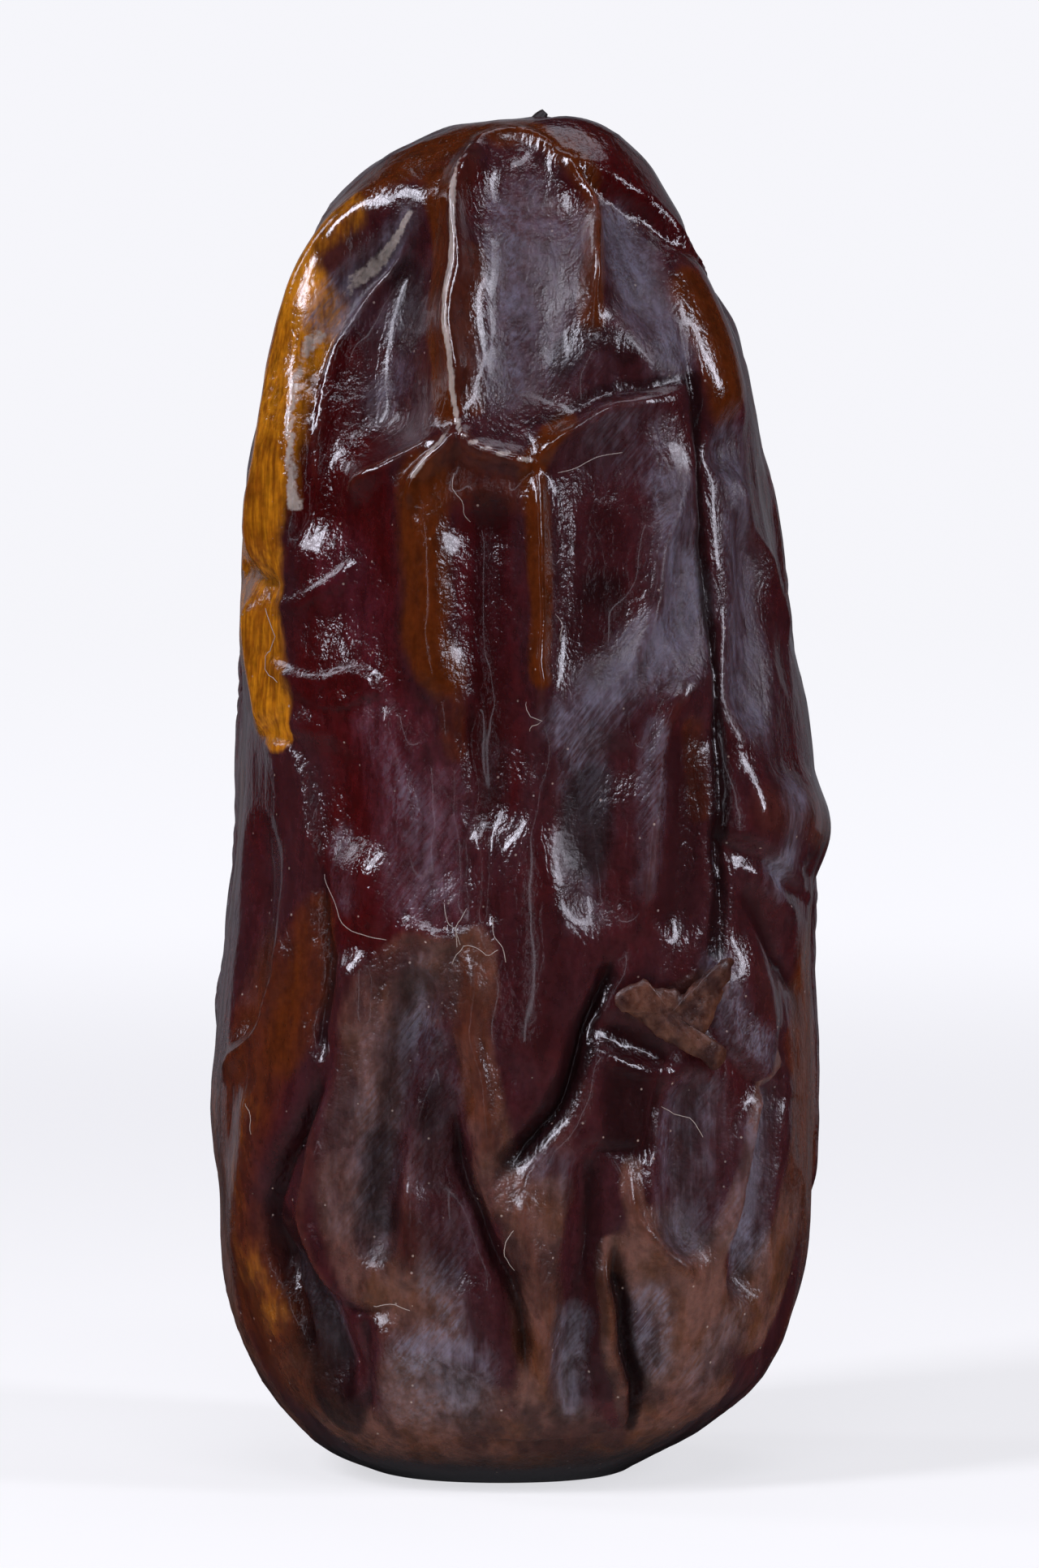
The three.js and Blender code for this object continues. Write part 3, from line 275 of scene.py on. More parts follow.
# Tints of the skin seen from the front: [tint, strength, half width, [[x, z], ...]]
FRONT_TINTS = [
    # amber where the skin is thin and lifted off the flesh; the bright gold along the left edge is partly a
    # painted glow of light shining through the thin skin
    ["gold_and_glow", 0.55, 1.1, [[-6.8, 51.4], [-8.0, 49.8], [-8.8, 47.8]]],
    ["gold_and_glow", 1.0, 2.3,
        [[-8.8, 47.6], [-9.5, 45], [-10.0, 42], [-10.4, 39.6], [-10.6, 37.8], [-10.7, 36.8]]],
    ["gold_and_glow", 0.85, 1.9, [[-10.7, 36.2], [-10.5, 34], [-10.2, 32]]],
    ["gold_and_glow", 0.8, 0.8, [[-10.0, 32.4], [-9.6, 30.2]]],
    ["amber", 0.85, 1.6, [[-1.0, 55.2], [-4.0, 53.9], [-6.6, 52.2], [-7.9, 50.4]]],
    ["amber", 0.8, 0.7, [[-3.2, 53], [-3.3, 50], [-3.3, 46], [-3.0, 43.6]]],
    ["amber", 0.6, 0.5, [[-1.9, 50], [-2.0, 46], [-1.7, 43.8]]],
    ["amber", 0.8, 0.55, [[0.4, 54.9], [2.2, 53.4], [2.9, 52], [2.95, 50], [2.9, 48.4], [3.0, 47.2]]],
    ["amber", 0.5, 0.8, [[-0.6, 54.6], [1.0, 54.6], [2.4, 54.2]]],
    ["wine", 0.8, 1.6, [[3.2, 54.2], [4.8, 52.8], [6.0, 51.2]]],
    ["amber", 0.85, 0.5,
        [[1.9, 43.3], [1.0, 42.1], [0.5, 41.2], [0.7, 39.6], [0.9, 37], [1.0, 35], [0.9, 32.6]]],
    ["gold_and_glow", 0.2, 0.5, [[-4.1, 37], [-4.1, 35.4], [-3.7, 34.2]]],
    ["amber", 0.8, 1.0, [[-4.1, 40.6], [-4.0, 38], [-3.9, 36], [-4.0, 34.6], [-3.3, 33]]],
    ["amber", 0.5, 1.5, [[-2.9, 41.2], [-1.4, 40.8], [0.0, 40.6]]],
    ["amber", 0.5, 0.6, [[-3.0, 32.2], [-2.7, 29.6]]],
    ["amber", 0.85, 1.2, [[8.1, 44.0], [7.6, 46], [6.6, 48.2]]],
    ["amber", 0.5, 0.6, [[7.0, 30.5], [7.4, 27]]],
    # tan, duller skin round the lower half
    ["amber", 0.6, 2.6, [[-10.4, 20], [-11.2, 16], [-11.6, 12.5], [-11.0, 8], [-9.4, 4]]],
    ["tan", 0.35, 1.6, [[-11.0, 10], [-10.4, 6.4], [-8.8, 3.4]]],
    ["gold_and_glow", 0.3, 1.2, [[-11.0, 14.6], [-11.2, 12], [-10.9, 8.6], [-10.2, 6.4]]],
    ["amber", 0.6, 1.2, [[-8.2, 22.6], [-8.5, 20], [-9.2, 17.4]]],
    ["gold_and_glow", 0.2, 0.7, [[-8.2, 23.4], [-8.4, 21.2], [-8.9, 19.6]]],
    ["tan", 0.6, 1.5, [[-4.2, 20.8], [-5.6, 19.6], [-6.4, 15.6], [-7.0, 11], [-6.0, 7.6]]],
    ["amber", 0.5, 0.9, [[-1.8, 21], [-1.9, 18], [-1.6, 15]]],
    ["tan", 0.6, 0.9, [[-1.8, 21.4], [-1.9, 18.6], [-1.7, 16], [-1.1, 13.6], [-1.2, 11]]],
    ["tan", 0.55, 1.3, [[-2.6, 20.6], [-3.6, 19.4], [-4.6, 19]]],
    ["tan", 0.35, 2.0, [[-4.2, 13.6], [-4.2, 10], [-3.6, 7]]],
    ["tan", 0.75, 1.2, [[0.4, 10.8], [0.6, 7.6], [1.0, 4.4], [1.2, 2.4]]],
    ["tan", 0.35, 0.7, [[-0.8, 12.4], [1.6, 13.4], [2.6, 15.4]]],
    ["bloom_and_sheen", 0.5, 0.9, [[1.0, 12.4], [1.9, 12.2]]],
    ["tan", 0.5, 0.9, [[1.6, 11.4], [0.9, 10]]],
    ["tan", 0.85, 0.6, [[3.9, 9], [3.8, 6], [4.3, 3], [4.8, 1.4]]],
    ["tan", 0.85, 2.1, [[5.8, 8.8], [7.4, 6.2], [6.6, 3.4]]],
    ["tan", 0.85, 1.7, [[9.6, 6.2], [11.0, 9.6], [11.7, 14.4], [11.7, 18.6]]],
    ["amber", 0.5, 1.0, [[11.2, 17.6], [11.5, 14.8], [11.2, 12]]],
    ["tan", 0.7, 0.55, [[7.0, 7.8], [8.2, 9.4], [8.9, 12], [9.6, 15], [10.4, 16.8]]],
    ["tan", 0.7, 0.5, [[4.6, 12.4], [4.7, 10.8], [5.6, 9.4], [6.9, 7.9]]],
    ["tan", 0.6, 1.6, [[-4.8, 3.2], [-1.6, 2.2], [2, 1.6]]],
    ["tan", 0.8, 1.6, [[-8.6, 3.2], [-6.4, 1.4], [-3, 0.8], [1, 0.7], [4.6, 1.0], [7.6, 3.0]]],
    ["tan", 0.5, 1.8, [[-4.4, 6.6], [-3.6, 3.4]]],
    ["bloom_and_sheen", 0.6, 1.3, [[8.6, 5.8], [7.4, 3.8]]],
    ["bloom_and_sheen", 0.5, 1.5, [[-5.4, 3.0], [-2.6, 2.0]]],
    ["bloom_and_sheen", 0.4, 1.2, [[-7.0, 14.6], [-7.2, 10.4]]],
    ["tan", 0.6, 0.9, [[7.6, 19.8], [6.2, 19.2], [5.0, 19.2]]],
    ["tan", 0.4, 0.8, [[10.4, 26.4], [12.2, 26.2]]],
    ["tan", 0.5, 0.8, [[11.9, 20.6], [12.0, 17]]],
    # wine red where the skin is tight on the flesh
    ["wine", 1.0, 2.6, [[-7.2, 39.5], [-7.2, 36], [-7.0, 32.6]]],
    ["wine", 0.9, 2.4, [[-6.6, 30], [-6.2, 26], [-5.8, 23]]],
    ["bloom_and_sheen", 0.4, 1.3, [[-5.8, 30.6], [-5.2, 27.6], [-4.6, 23.6]]],
    ["bloom_and_sheen", 0.4, 0.7, [[-7.4, 26], [-6.9, 23.4]]],
    ["rose", 0.6, 2.0, [[-5.4, 30.4], [-4.4, 27.4], [-4.0, 23.6]]],
    ["rose", 0.6, 1.6, [[-7.6, 37.4], [-6.4, 34.6]]],
    ["rose", 0.7, 1.3, [[7.2, 48.4], [8.0, 46.2], [8.6, 44.2]]],
    ["rose", 0.4, 1.4, [[-1.4, 37.6], [-1.2, 34]]],
    ["wine", 0.9, 1.6, [[-8.2, 46], [-8.4, 43], [-7.8, 40.4]]],
    ["dark", 0.6, 1.3, [[-5.4, 49.4], [-5.2, 47.2]]],
    ["wine", 0.8, 1.3, [[-1.5, 39], [-1.4, 35], [-1.0, 31], [-1.0, 27.6]]],
    ["wine", 0.7, 1.5, [[3.4, 52.6], [5, 52.4]]],
    ["wine", 0.9, 1.5, [[7.2, 49], [8.2, 46.4], [8.8, 44.4]]],
    ["wine", 0.7, 1.6, [[-2.0, 52.4], [1.6, 51.8]]],
    ["wine", 0.4, 1.5, [[-10.6, 27], [-10.8, 22]]],
    ["wine", 0.6, 1.2, [[11.0, 29], [12.0, 27]]],
    # a dull grey waxy bloom in the sunken panels, partly a painted sheen of the soft lamps
    ["bloom_and_sheen", 0.85, 1.7, [[0.4, 52], [0.3, 49.4], [0.4, 47.6], [-0.1, 45.2]]],
    ["bloom_and_sheen", 0.6, 1.0, [[1.8, 51], [2.0, 48.6]]],
    ["bloom_and_sheen", 0.9, 0.7, [[-0.2, 48.4], [0.4, 47.4], [1.0, 46.8]]],
    ["bloom_and_sheen", 1.0, 1.2, [[3.9, 51], [4.8, 49], [5.6, 47.2], [6.0, 46]]],
    ["bloom_and_sheen", 0.3, 1.0, [[2.6, 45.2], [4.6, 45.2]]],
    # painted shade in the hollow and in the crease above the ridge
    ["dark", 0.6, 0.8, [[1.9, 45.6], [2.6, 46.5], [4.2, 46.0]]],
    ["dark", 0.6, 0.3, [[0.5, 43.0], [2.4, 43.9], [3.6, 44.4], [5.2, 44.7], [7.0, 45.0]]],
    ["bloom_and_sheen", 0.9, 0.6, [[4.6, 47.2], [5.6, 46.0]]],
    ["bloom_and_sheen", 0.85, 0.8, [[5.9, 40.4], [6.4, 38.4], [6.2, 36.6]]],
    ["bloom_and_sheen", 1.0, 1.3, [[7.0, 36], [6.4, 34.2], [5.0, 33.4], [3.4, 31.8], [2.2, 30.6]]],
    ["bloom_and_sheen", 0.45, 1.7, [[3.0, 42], [4.8, 42.4]]],
    ["bloom_and_sheen", 0.6, 0.6, [[5.5, 30.4], [5.3, 27], [5.1, 24]]],
    ["bloom_and_sheen", 0.5, 1.1, [[2.9, 28.4], [2.6, 25.4]]],
    ["bloom_and_sheen", 1.0, 1.3, [[8.6, 41.4], [9.0, 38], [9.4, 34.5], [9.7, 31]]],
    ["bloom_and_sheen", 0.8, 0.8, [[10.6, 27.6], [10.5, 25.4]]],
    ["bloom_and_sheen", 0.5, 1.4, [[8.5, 42.8], [8.9, 41.6]]],
    ["bloom_and_sheen", 1.0, 0.6, [[-4.6, 51.8], [-6.1, 50.4], [-7.1, 48.8], [-7.8, 47.2]]],
    ["bloom_and_sheen", 0.5, 1.2, [[-5.0, 49.6], [-6.2, 47.6]]],
    ["bloom_and_sheen", 0.6, 1.0, [[-6.6, 44.4], [-5.4, 45.6]]],
    ["bloom_and_sheen", 0.35, 1.6, [[-3.4, 27.6], [-3.4, 24]]],
    ["bloom_and_sheen", 0.6, 0.9, [[7.9, 20.6], [8.6, 18.4], [9.8, 17.2]]],
    ["bloom_and_sheen", 1.0, 1.1, [[10.2, 15], [9.8, 12], [9.4, 9]]],
    ["bloom_and_sheen", 0.8, 1.5, [[7.4, 14.6], [7.0, 12], [6.8, 10]]],
    ["bloom_and_sheen", 0.35, 1.4, [[-3.4, 17], [-3.4, 12], [-2.6, 9]]],
    ["dark", 0.4, 1.0, [[-3.3, 15], [-3.0, 12]]],
    ["bloom_and_sheen", 0.35, 1.4, [[-5.6, 17.6], [-6.0, 13.6]]],
    ["bloom_and_sheen", 0.3, 1.2, [[-10.4, 24], [-11.2, 20]]],
    ["bloom_and_sheen", 1.0, 1.3, [[-4.0, 4.6], [-2.4, 4.4], [-2.6, 3.2]]],
    ["bloom_and_sheen", 0.6, 1.0, [[-3.4, 7.6], [-2.4, 6]]],
    ["dark", 0.4, 0.5, [[-4.9, 4.0], [-3.8, 3.4]]],
    ["bloom_and_sheen", 1.0, 0.8, [[2.2, 6.0], [2.1, 4], [2.2, 2.6]]],
    ["bloom_and_sheen", 0.8, 1.0, [[5.4, 6.6], [5.4, 4]]],
    ["bloom_and_sheen", 0.8, 0.9, [[-9.4, 8.4], [-8.4, 6.4], [-7.8, 4.6]]],
    ["bloom_and_sheen", 0.5, 0.7, [[-5.9, 12.6], [-6.0, 9]]],
    # a pale painted highlight along the sharpest crests
    ["painted_highlight", 1.0, 0.12,
        [[-2.0, 54.0], [-2.45, 53.0], [-2.6, 51.2], [-2.75, 49.6], [-2.85, 47.8], [-2.75, 45],
         [-2.45, 43.1], [-1.95, 42.35], [-0.9, 41.85], [0.4, 41.45]]],
    ["painted_highlight", 0.7, 0.11, [[-3.0, 42.5], [-3.6, 41.5], [-4.2, 40.6]]],
    ["painted_highlight", 0.8, 0.12,
        [[-4.5, 51.9], [-5.8, 50.7], [-7.0, 49.2], [-7.8, 47.5], [-8.4, 45.4], [-8.7, 43.3],
         [-8.9, 41.0], [-9.0, 39.4]]],
    # near-black painted shade in the folds, creases and hollows
    ["dark", 0.9, 0.5,
        [[6.9, 44.6], [7.2, 42], [7.35, 39], [7.6, 36], [7.85, 33], [8.05, 30], [8.2, 27], [8.2, 24],
         [8.0, 21.4]]],
    ["dark", 0.45, 1.1, [[3.6, 39.0], [3.5, 36.8]]],
    ["dark", 0.5, 1.4, [[3.4, 35.4], [3.0, 33.0]]],
    ["dark", 0.5, 1.2, [[6.8, 29.4], [6.8, 26], [6.4, 23]]],
    ["dark", 0.55, 1.0, [[-1.2, 39.6], [-1.3, 36], [-1.2, 32], [-1.2, 27]]],
    ["dark", 0.45, 1.2, [[-7.2, 37], [-7.0, 35.4]]],
    ["dark", 0.45, 1.4, [[0.8, 22.4], [0.8, 18.4]]],
    ["dark", 0.4, 1.2, [[-9.6, 28], [-10.4, 24], [-10.8, 21]]],
    ["dark", 0.4, 1.2, [[2.6, 24], [3.0, 28]]],
    ["dark", 0.4, 0.8, [[7.2, 14.6], [6.9, 12.4]]],
    ["dark", 0.5, 1.4, [[-8.8, 4.4], [-7.2, 2.6]]],
    ["dark", 0.45, 1.0, [[-4.2, 17.6], [-4.4, 14.8]]],
    ["bloom_and_sheen", 1.1, 1.2, [[9.4, 36.8], [9.2, 31.6]]],
    ["bloom_and_sheen", 1.0, 1.0, [[10.6, 27.6], [10.4, 24.4]]],
    ["bloom_and_sheen", 0.8, 1.2, [[6.4, 40], [6.2, 33]]],
    ["bloom_and_sheen", 0.8, 1.3, [[4.4, 50.4], [4.9, 47.4]]],
    ["bloom_and_sheen", 0.9, 1.1, [[9.4, 13.4], [9.2, 9.6]]],
    ["bloom_and_sheen", 0.6, 1.0, [[-4.2, 20.6], [-4, 18.4]]],
    ["gold_and_glow", 0.7, 0.9, [[-11.1, 40], [-10.9, 36.4]]],
    ["bloom_and_sheen", 0.5, 1.0, [[2.8, 28.2], [2.5, 23]]],
    ["bloom_and_sheen", 0.4, 0.7, [[-0.8, 29.6], [-0.8, 27.4]]],
    ["dark", 0.4, 1.2, [[-4.6, 9.6], [-3.0, 8.0]]],
    ["dark", 0.35, 1.0, [[5.4, 6.4], [5.2, 4.2]]],
    ["dark", 0.35, 1.2, [[9.6, 6.4], [8.6, 4.0]]],
    ["dark", 0.5, 1.4, [[5.0, 15.6], [4.6, 13.6]]],
    ["dark", 0.75, 0.6, [[3.6, 20.4], [2.8, 18.4], [2.1, 16.3], [1.0, 14.2], [-0.5, 12.8]]],
    ["dark", 0.5, 1.0, [[3.7, 17.2], [4.2, 15.4], [4.3, 13.8]]],
    ["dark", 0.6, 0.6, [[4.2, 17.9], [5.2, 17.5], [5.8, 17.1]]],
    ["dark", 0.8, 1.0, [[-9.6, 10], [-9.1, 8], [-8.5, 6], [-7.8, 4], [-7.2, 2.2]]],
    ["dark", 0.6, 0.5, [[3.2, 12], [3.2, 8.6], [3.2, 5], [3.5, 3]]],
    ["dark", 0.8, 0.4, [[4.2, 7.6], [4.4, 5], [4.9, 2.6], [4.6, 1.6]]],
    ["dark", 0.6, 0.9, [[-5.8, 13.4], [-5.8, 10.4]]],
    ["dark", 0.6, 1.0, [[3.2, 28], [2.8, 25.6]]],
]
# Tints on the flanks and the back
SIDE_TINTS = [
    # gold along the left flank, partly a painted glow of light shining through the thin skin
    ["gold_and_glow", 0.9, 1.8, [[290, 49], [287, 45], [284, 40], [281, 35], [280, 31]]],
    ["tan", 0.85, 2.8, [[281, 25], [277, 15], [276, 8], [280, 2], [284, 0.2]]],
    ["gold_and_glow", 0.25, 1.5, [[278, 18], [275, 13], [276, 8]]],
    ["tan", 0.35, 2.0, [[84, 52], [86, 44], [83, 34], [84, 26]]],
    ["amber", 0.6, 1.6, [[272, 32], [276, 26], [275, 20]]],
    ["tan", 0.45, 2.4, [[82, 26], [85, 16], [86, 9], [82, 3], [78, 0.2]]],
    ["amber", 0.95, 2.4, [[78, 25], [82, 20], [84, 13], [82, 6]]],
    ["tan", 0.9, 3.4, [[100, 5], [150, 4], [200, 4], [260, 5]]],
    ["tan", 0.4, 1.6, [[112, 9], [107, 17]]],
    ["tan", 0.45, 1.8, [[170, 10], [176, 17]]],
    ["tan", 0.45, 1.8, [[232, 12], [240, 17], [252, 12]]],
    ["amber", 0.8, 1.2, [[150, 53], [148, 47], [153, 41], [160, 36]]],
    ["amber", 0.8, 1.2, [[187, 53], [188, 48], [183, 42], [190, 37]]],
    ["gold_and_glow", 0.35, 0.8, [[238, 50], [241, 44], [236, 37], [241, 33]]],
    ["amber", 0.7, 1.2, [[126, 52], [130, 46], [135, 40], [131, 33]]],
    ["gold_and_glow", 0.35, 1.0, [[270, 44], [268, 38], [270, 34]]],
    ["wine", 0.9, 2.8, [[118, 44], [118, 34]]],
    ["wine", 0.8, 2.6, [[166, 49], [168, 45]]],
    ["wine", 0.8, 2.4, [[226, 47], [226, 40]]],
    ["wine", 0.7, 2.4, [[188, 28], [188, 20]]],
    # grey waxy bloom on the flanks, partly a painted sheen of the soft lamps
    ["bloom_and_sheen", 0.8, 1.8, [[141, 38], [144, 30]]],
    ["bloom_and_sheen", 0.8, 1.9, [[201, 46], [201, 40]]],
    ["bloom_and_sheen", 0.6, 1.8, [[226, 30], [224, 25]]],
    ["bloom_and_sheen", 0.6, 1.8, [[164, 24], [163, 14]]],
    ["bloom_and_sheen", 0.6, 1.6, [[117, 40], [118, 34]]],
    ["bloom_and_sheen", 0.5, 1.6, [[250, 42], [249, 34]]],
    # painted shade in the creases of the flanks
    ["dark", 0.7, 0.8, [[108, 17], [107, 10], [104, 4]]],
    ["dark", 0.7, 0.8, [[194, 25], [193, 16], [196, 8]]],
    ["dark", 0.7, 0.8, [[232, 29], [234, 21], [230, 13]]],
]


def make_object(name, vertices, faces):
    """A smooth shaded object from vertices in metres."""
    mesh = bpy.data.meshes.new(name)
    mesh.from_pydata(vertices.tolist(), [], faces)
    mesh.polygons.foreach_set("use_smooth", [True] * len(mesh.polygons))
    mesh.update()
    made = bpy.data.objects.new(name, mesh)
    bpy.context.scene.collection.objects.link(made)
    return made


# The smooth body

def ease(low, high, value):
    share = np.clip((value - low) / (high - low), 0, 1)
    return share * share * (3 - 2 * share)


def through(rows, places):
    """A smooth curve through rows of numbers, at places from 0 to the last row."""
    rows = np.asarray(rows, float)
    places = np.atleast_1d(places)
    index = np.clip(np.floor(places).astype(int), 0, len(rows) - 2)
    share = (places - index)[:, None]
    a, b, c, d = (rows[np.clip(index + k, 0, len(rows) - 1)] for k in (-1, 0, 1, 2))
    bend = 2 * a - 5 * b + 4 * c - d + (3 * b - a + d - 3 * c) * share
    return b + 0.5 * share * (c - a + share * bend)


def ring_points(places, angles):
    """Points of the smooth body, at places along the sections and angles round from the front."""
    z, left, right, front, back = through(SECTIONS, places).T
    square = 1 - CORNER * np.cos(4 * angles)
    x = (left + right) / 2 + (right - left) / 2 * square * np.sin(angles)
    y = (front + back) / 2 - (back - front) / 2 * square * np.cos(angles)
    return np.stack([x, y, np.maximum(z, 0)], 1)


HEIGHT_PLACES = np.linspace(FLAT_SECTION, len(SECTIONS) - 1, 2000)
HEIGHT_TABLE = through(SECTIONS, HEIGHT_PLACES)[:, 0]


def place_of_height(z):
    return np.interp(z, HEIGHT_TABLE, HEIGHT_PLACES)


def seen_at(across, up):
    """The points of the smooth body that the front view shows at (across, up)."""
    point = np.stack([across, np.full_like(across, -HEIGHT / 5), up], 1)
    for _ in range(4):
        nearer = 1 + point[:, 1] / VIEW_DISTANCE
        height = VIEW_MIDDLE + (up - VIEW_MIDDLE) * nearer - point[:, 1] * VIEW_SLOPE
        places = place_of_height(height)
        _, left, right, _, _ = through(SECTIONS, places).T
        side = np.clip((across * nearer - (left + right) / 2) / ((right - left) / 2), -0.995, 0.995)
        point = ring_points(places, np.arcsin(side))
    return point


def round_at(degrees, z):
    return ring_points(place_of_height(z), np.radians(degrees))


def traced_line(points, to_surface):
    """A relief's line as a fine row of points on the smooth body."""
    steps = 4 * (len(points) - 1)
    across, up = through(points, np.arange(steps + 1) / 4).T
    return to_surface(across, up)


def nearest_on(line, points, outward):
    """For each point its distance to the line, how far along it the nearest place is from an end,
    and on which side of the line it lies: positive is left, walking along the line on the skin."""
    best = np.full(len(points), np.inf)
    along = np.zeros(len(points))
    side = np.zeros(len(points))
    for k in range(len(line) - 1):
        segment = line[k + 1] - line[k]
        to_point = points - line[k]
        share = np.clip(to_point @ segment / (segment @ segment), 0, 1)
        off = to_point - share[:, None] * segment
        distance = np.linalg.norm(off, axis=1)
        near = distance < best
        best[near] = distance[near]
        along[near] = ((k + share) / (len(line) - 1))[near]
        left = np.cross(outward[near], segment)
        side[near] = np.sign(np.einsum("ij,ij->i", off[near], left))
    return best, np.minimum(along, 1 - along), side


REACH = {"ridge": 6, "panel": 1.6, "crease": 5, "fold": 9}


def bowl(d):
    """A soft round hollow across a line, at distances in half widths."""
    return np.maximum(1 - (d / REACH["panel"]) ** 2, 0) ** 2


def strayed(points):
    """The points moved a little at random, which gives what is drawn on them uneven, grown edges."""
    broad = [0.18 * bumps(points, 1.9, seed) for seed in (21, 22, 23)]
    fine = [0.04 * bumps(points, 0.7, seed) for seed in (31, 32, 33)]
    return points + np.stack(broad, 1) + np.stack(fine, 1)


def touched(line, points, reach):
    """Which points lie in the line's box, widened by its reach."""
    low, high = line.min(0) - reach, line.max(0) + reach
    return np.flatnonzero(((points >= low) & (points <= high)).all(1))


def relief_of(points, outward):
    """How far the skin stands out from the smooth body: the whole, and what is raised, sunk and cut."""
    raised, sunk, cut, folded = (np.zeros(len(points)) for _ in range(4))
    rows = [(row, seen_at) for row in FRONT_RELIEF] + [(row, round_at) for row in SIDE_RELIEF]
    for (kind, height, width, line_points), to_surface in rows:
        line = traced_line(line_points, to_surface)
        near = touched(line, points, REACH[kind] * width)
        distance, from_end, side = nearest_on(line, points[near], outward[near])
        d = distance / width
        taper = 0.25 + 0.75 * ease(0, 0.2, from_end)
        size = abs(height)
        if kind == "ridge":
            raised[near] += (size * taper * (1 + d * d) ** -1.3) ** 3
        elif kind == "panel" and height > 0:
            raised[near] += (size * bowl(d)) ** 3
        elif kind == "panel":
            sunk[near] += (size * bowl(d)) ** 2
        elif kind == "crease":
            cut[near] = np.maximum(cut[near], size * taper * np.exp(SHARPNESS - np.hypot(d, SHARPNESS)))
        else:
            signed = d * side * np.sign(height)
            above = ease(-0.7, 0.7, signed) * np.exp(-np.maximum(signed, 0) / 4)
            below = ease(-0.7, 0.7, -signed) * np.exp(-np.maximum(-signed, 0) / 1.5)
            folded[near] += size * taper * (above - 0.6 * below)
    raised, sunk = np.cbrt(raised), np.sqrt(sunk)
    return raised - sunk - cut + folded, raised, sunk, cut


def bumps(points, size, seed):
    """Smooth random bumps about as wide as size, between -1 and 1. size may differ along x, y and z."""
    cell = points / np.asarray(size, float)
    corner = np.floor(cell).astype(np.int64)
    share = cell - corner
    share = share * share * (3 - 2 * share)
    total = np.zeros(len(points))
    for k in range(8):
        step = np.array([k & 1, k >> 1 & 1, k >> 2 & 1])
        where = corner + step
        key = where[:, 0] * 73856093 ^ where[:, 1] * 19349663 ^ where[:, 2] * 83492791 ^ seed * 2654435
        key = (key ^ key >> 13) * 1274126177 & 0xFFFFFFFF
        key = (key ^ key >> 15) * 668265263 & 0xFFFFFFFF
        value = (key >> 8 & 0xFFFF) / 32767.5 - 1
        total += value * np.prod(np.where(step, share, 1 - share), axis=1)
    return total


def skin_grid():
    """Places along the sections and angles round where the skin's points lie, evenly spaced."""
    fine = np.linspace(0, len(SECTIONS) - 1, 4000)
    z, left, right, front, back = through(SECTIONS, fine).T
    radius = (right - left + back - front) / 4
    lengths = np.hypot(np.diff(radius), np.diff(np.maximum(z, 0)))
    lengths = np.where(fine[1:] < FLAT_SECTION, 0.5, 1) * lengths + 1e-4
    run = np.concatenate([[0], np.cumsum(lengths)])
    places = np.interp(np.linspace(0, run[-1], RINGS + 2)[1:-1], run, fine)
    turn = 2 * np.pi * np.arange(SIDES) / SIDES
    angles = turn - FRONT_CROWDING * np.sin(turn)
    return places, angles


def outward_at(places, angles):
    step = 0.01
    round_step = ring_points(places, angles + step) - ring_points(places, angles - step)
    up_step = ring_points(places + step, angles) - ring_points(places - step, angles)
    outward = np.cross(round_step, up_step)
    return outward / np.linalg.norm(outward, axis=1)[:, None]


def tints_of(points, outward):
    rows = [(row, seen_at) for row in FRONT_TINTS] + [(row, round_at) for row in SIDE_TINTS]
    left_bare = {name: np.ones(len(points)) for name in TINTS}
    for (tint, strength, width, line_points), to_surface in rows:
        line = traced_line(line_points, to_surface)
        near = touched(line, points, 2 * width)
        distance, from_end, _ = nearest_on(line, points[near], outward[near])
        fade = 1 if to_surface is seen_at else ease(0, 0.35, from_end)
        inner, outer = EDGES.get(tint, SOFT_EDGE)
        left_bare[tint][near] *= 1 - strength * fade * (1 - ease(inner, outer, distance / width))
    return {name: 1 - bare for name, bare in left_bare.items()}


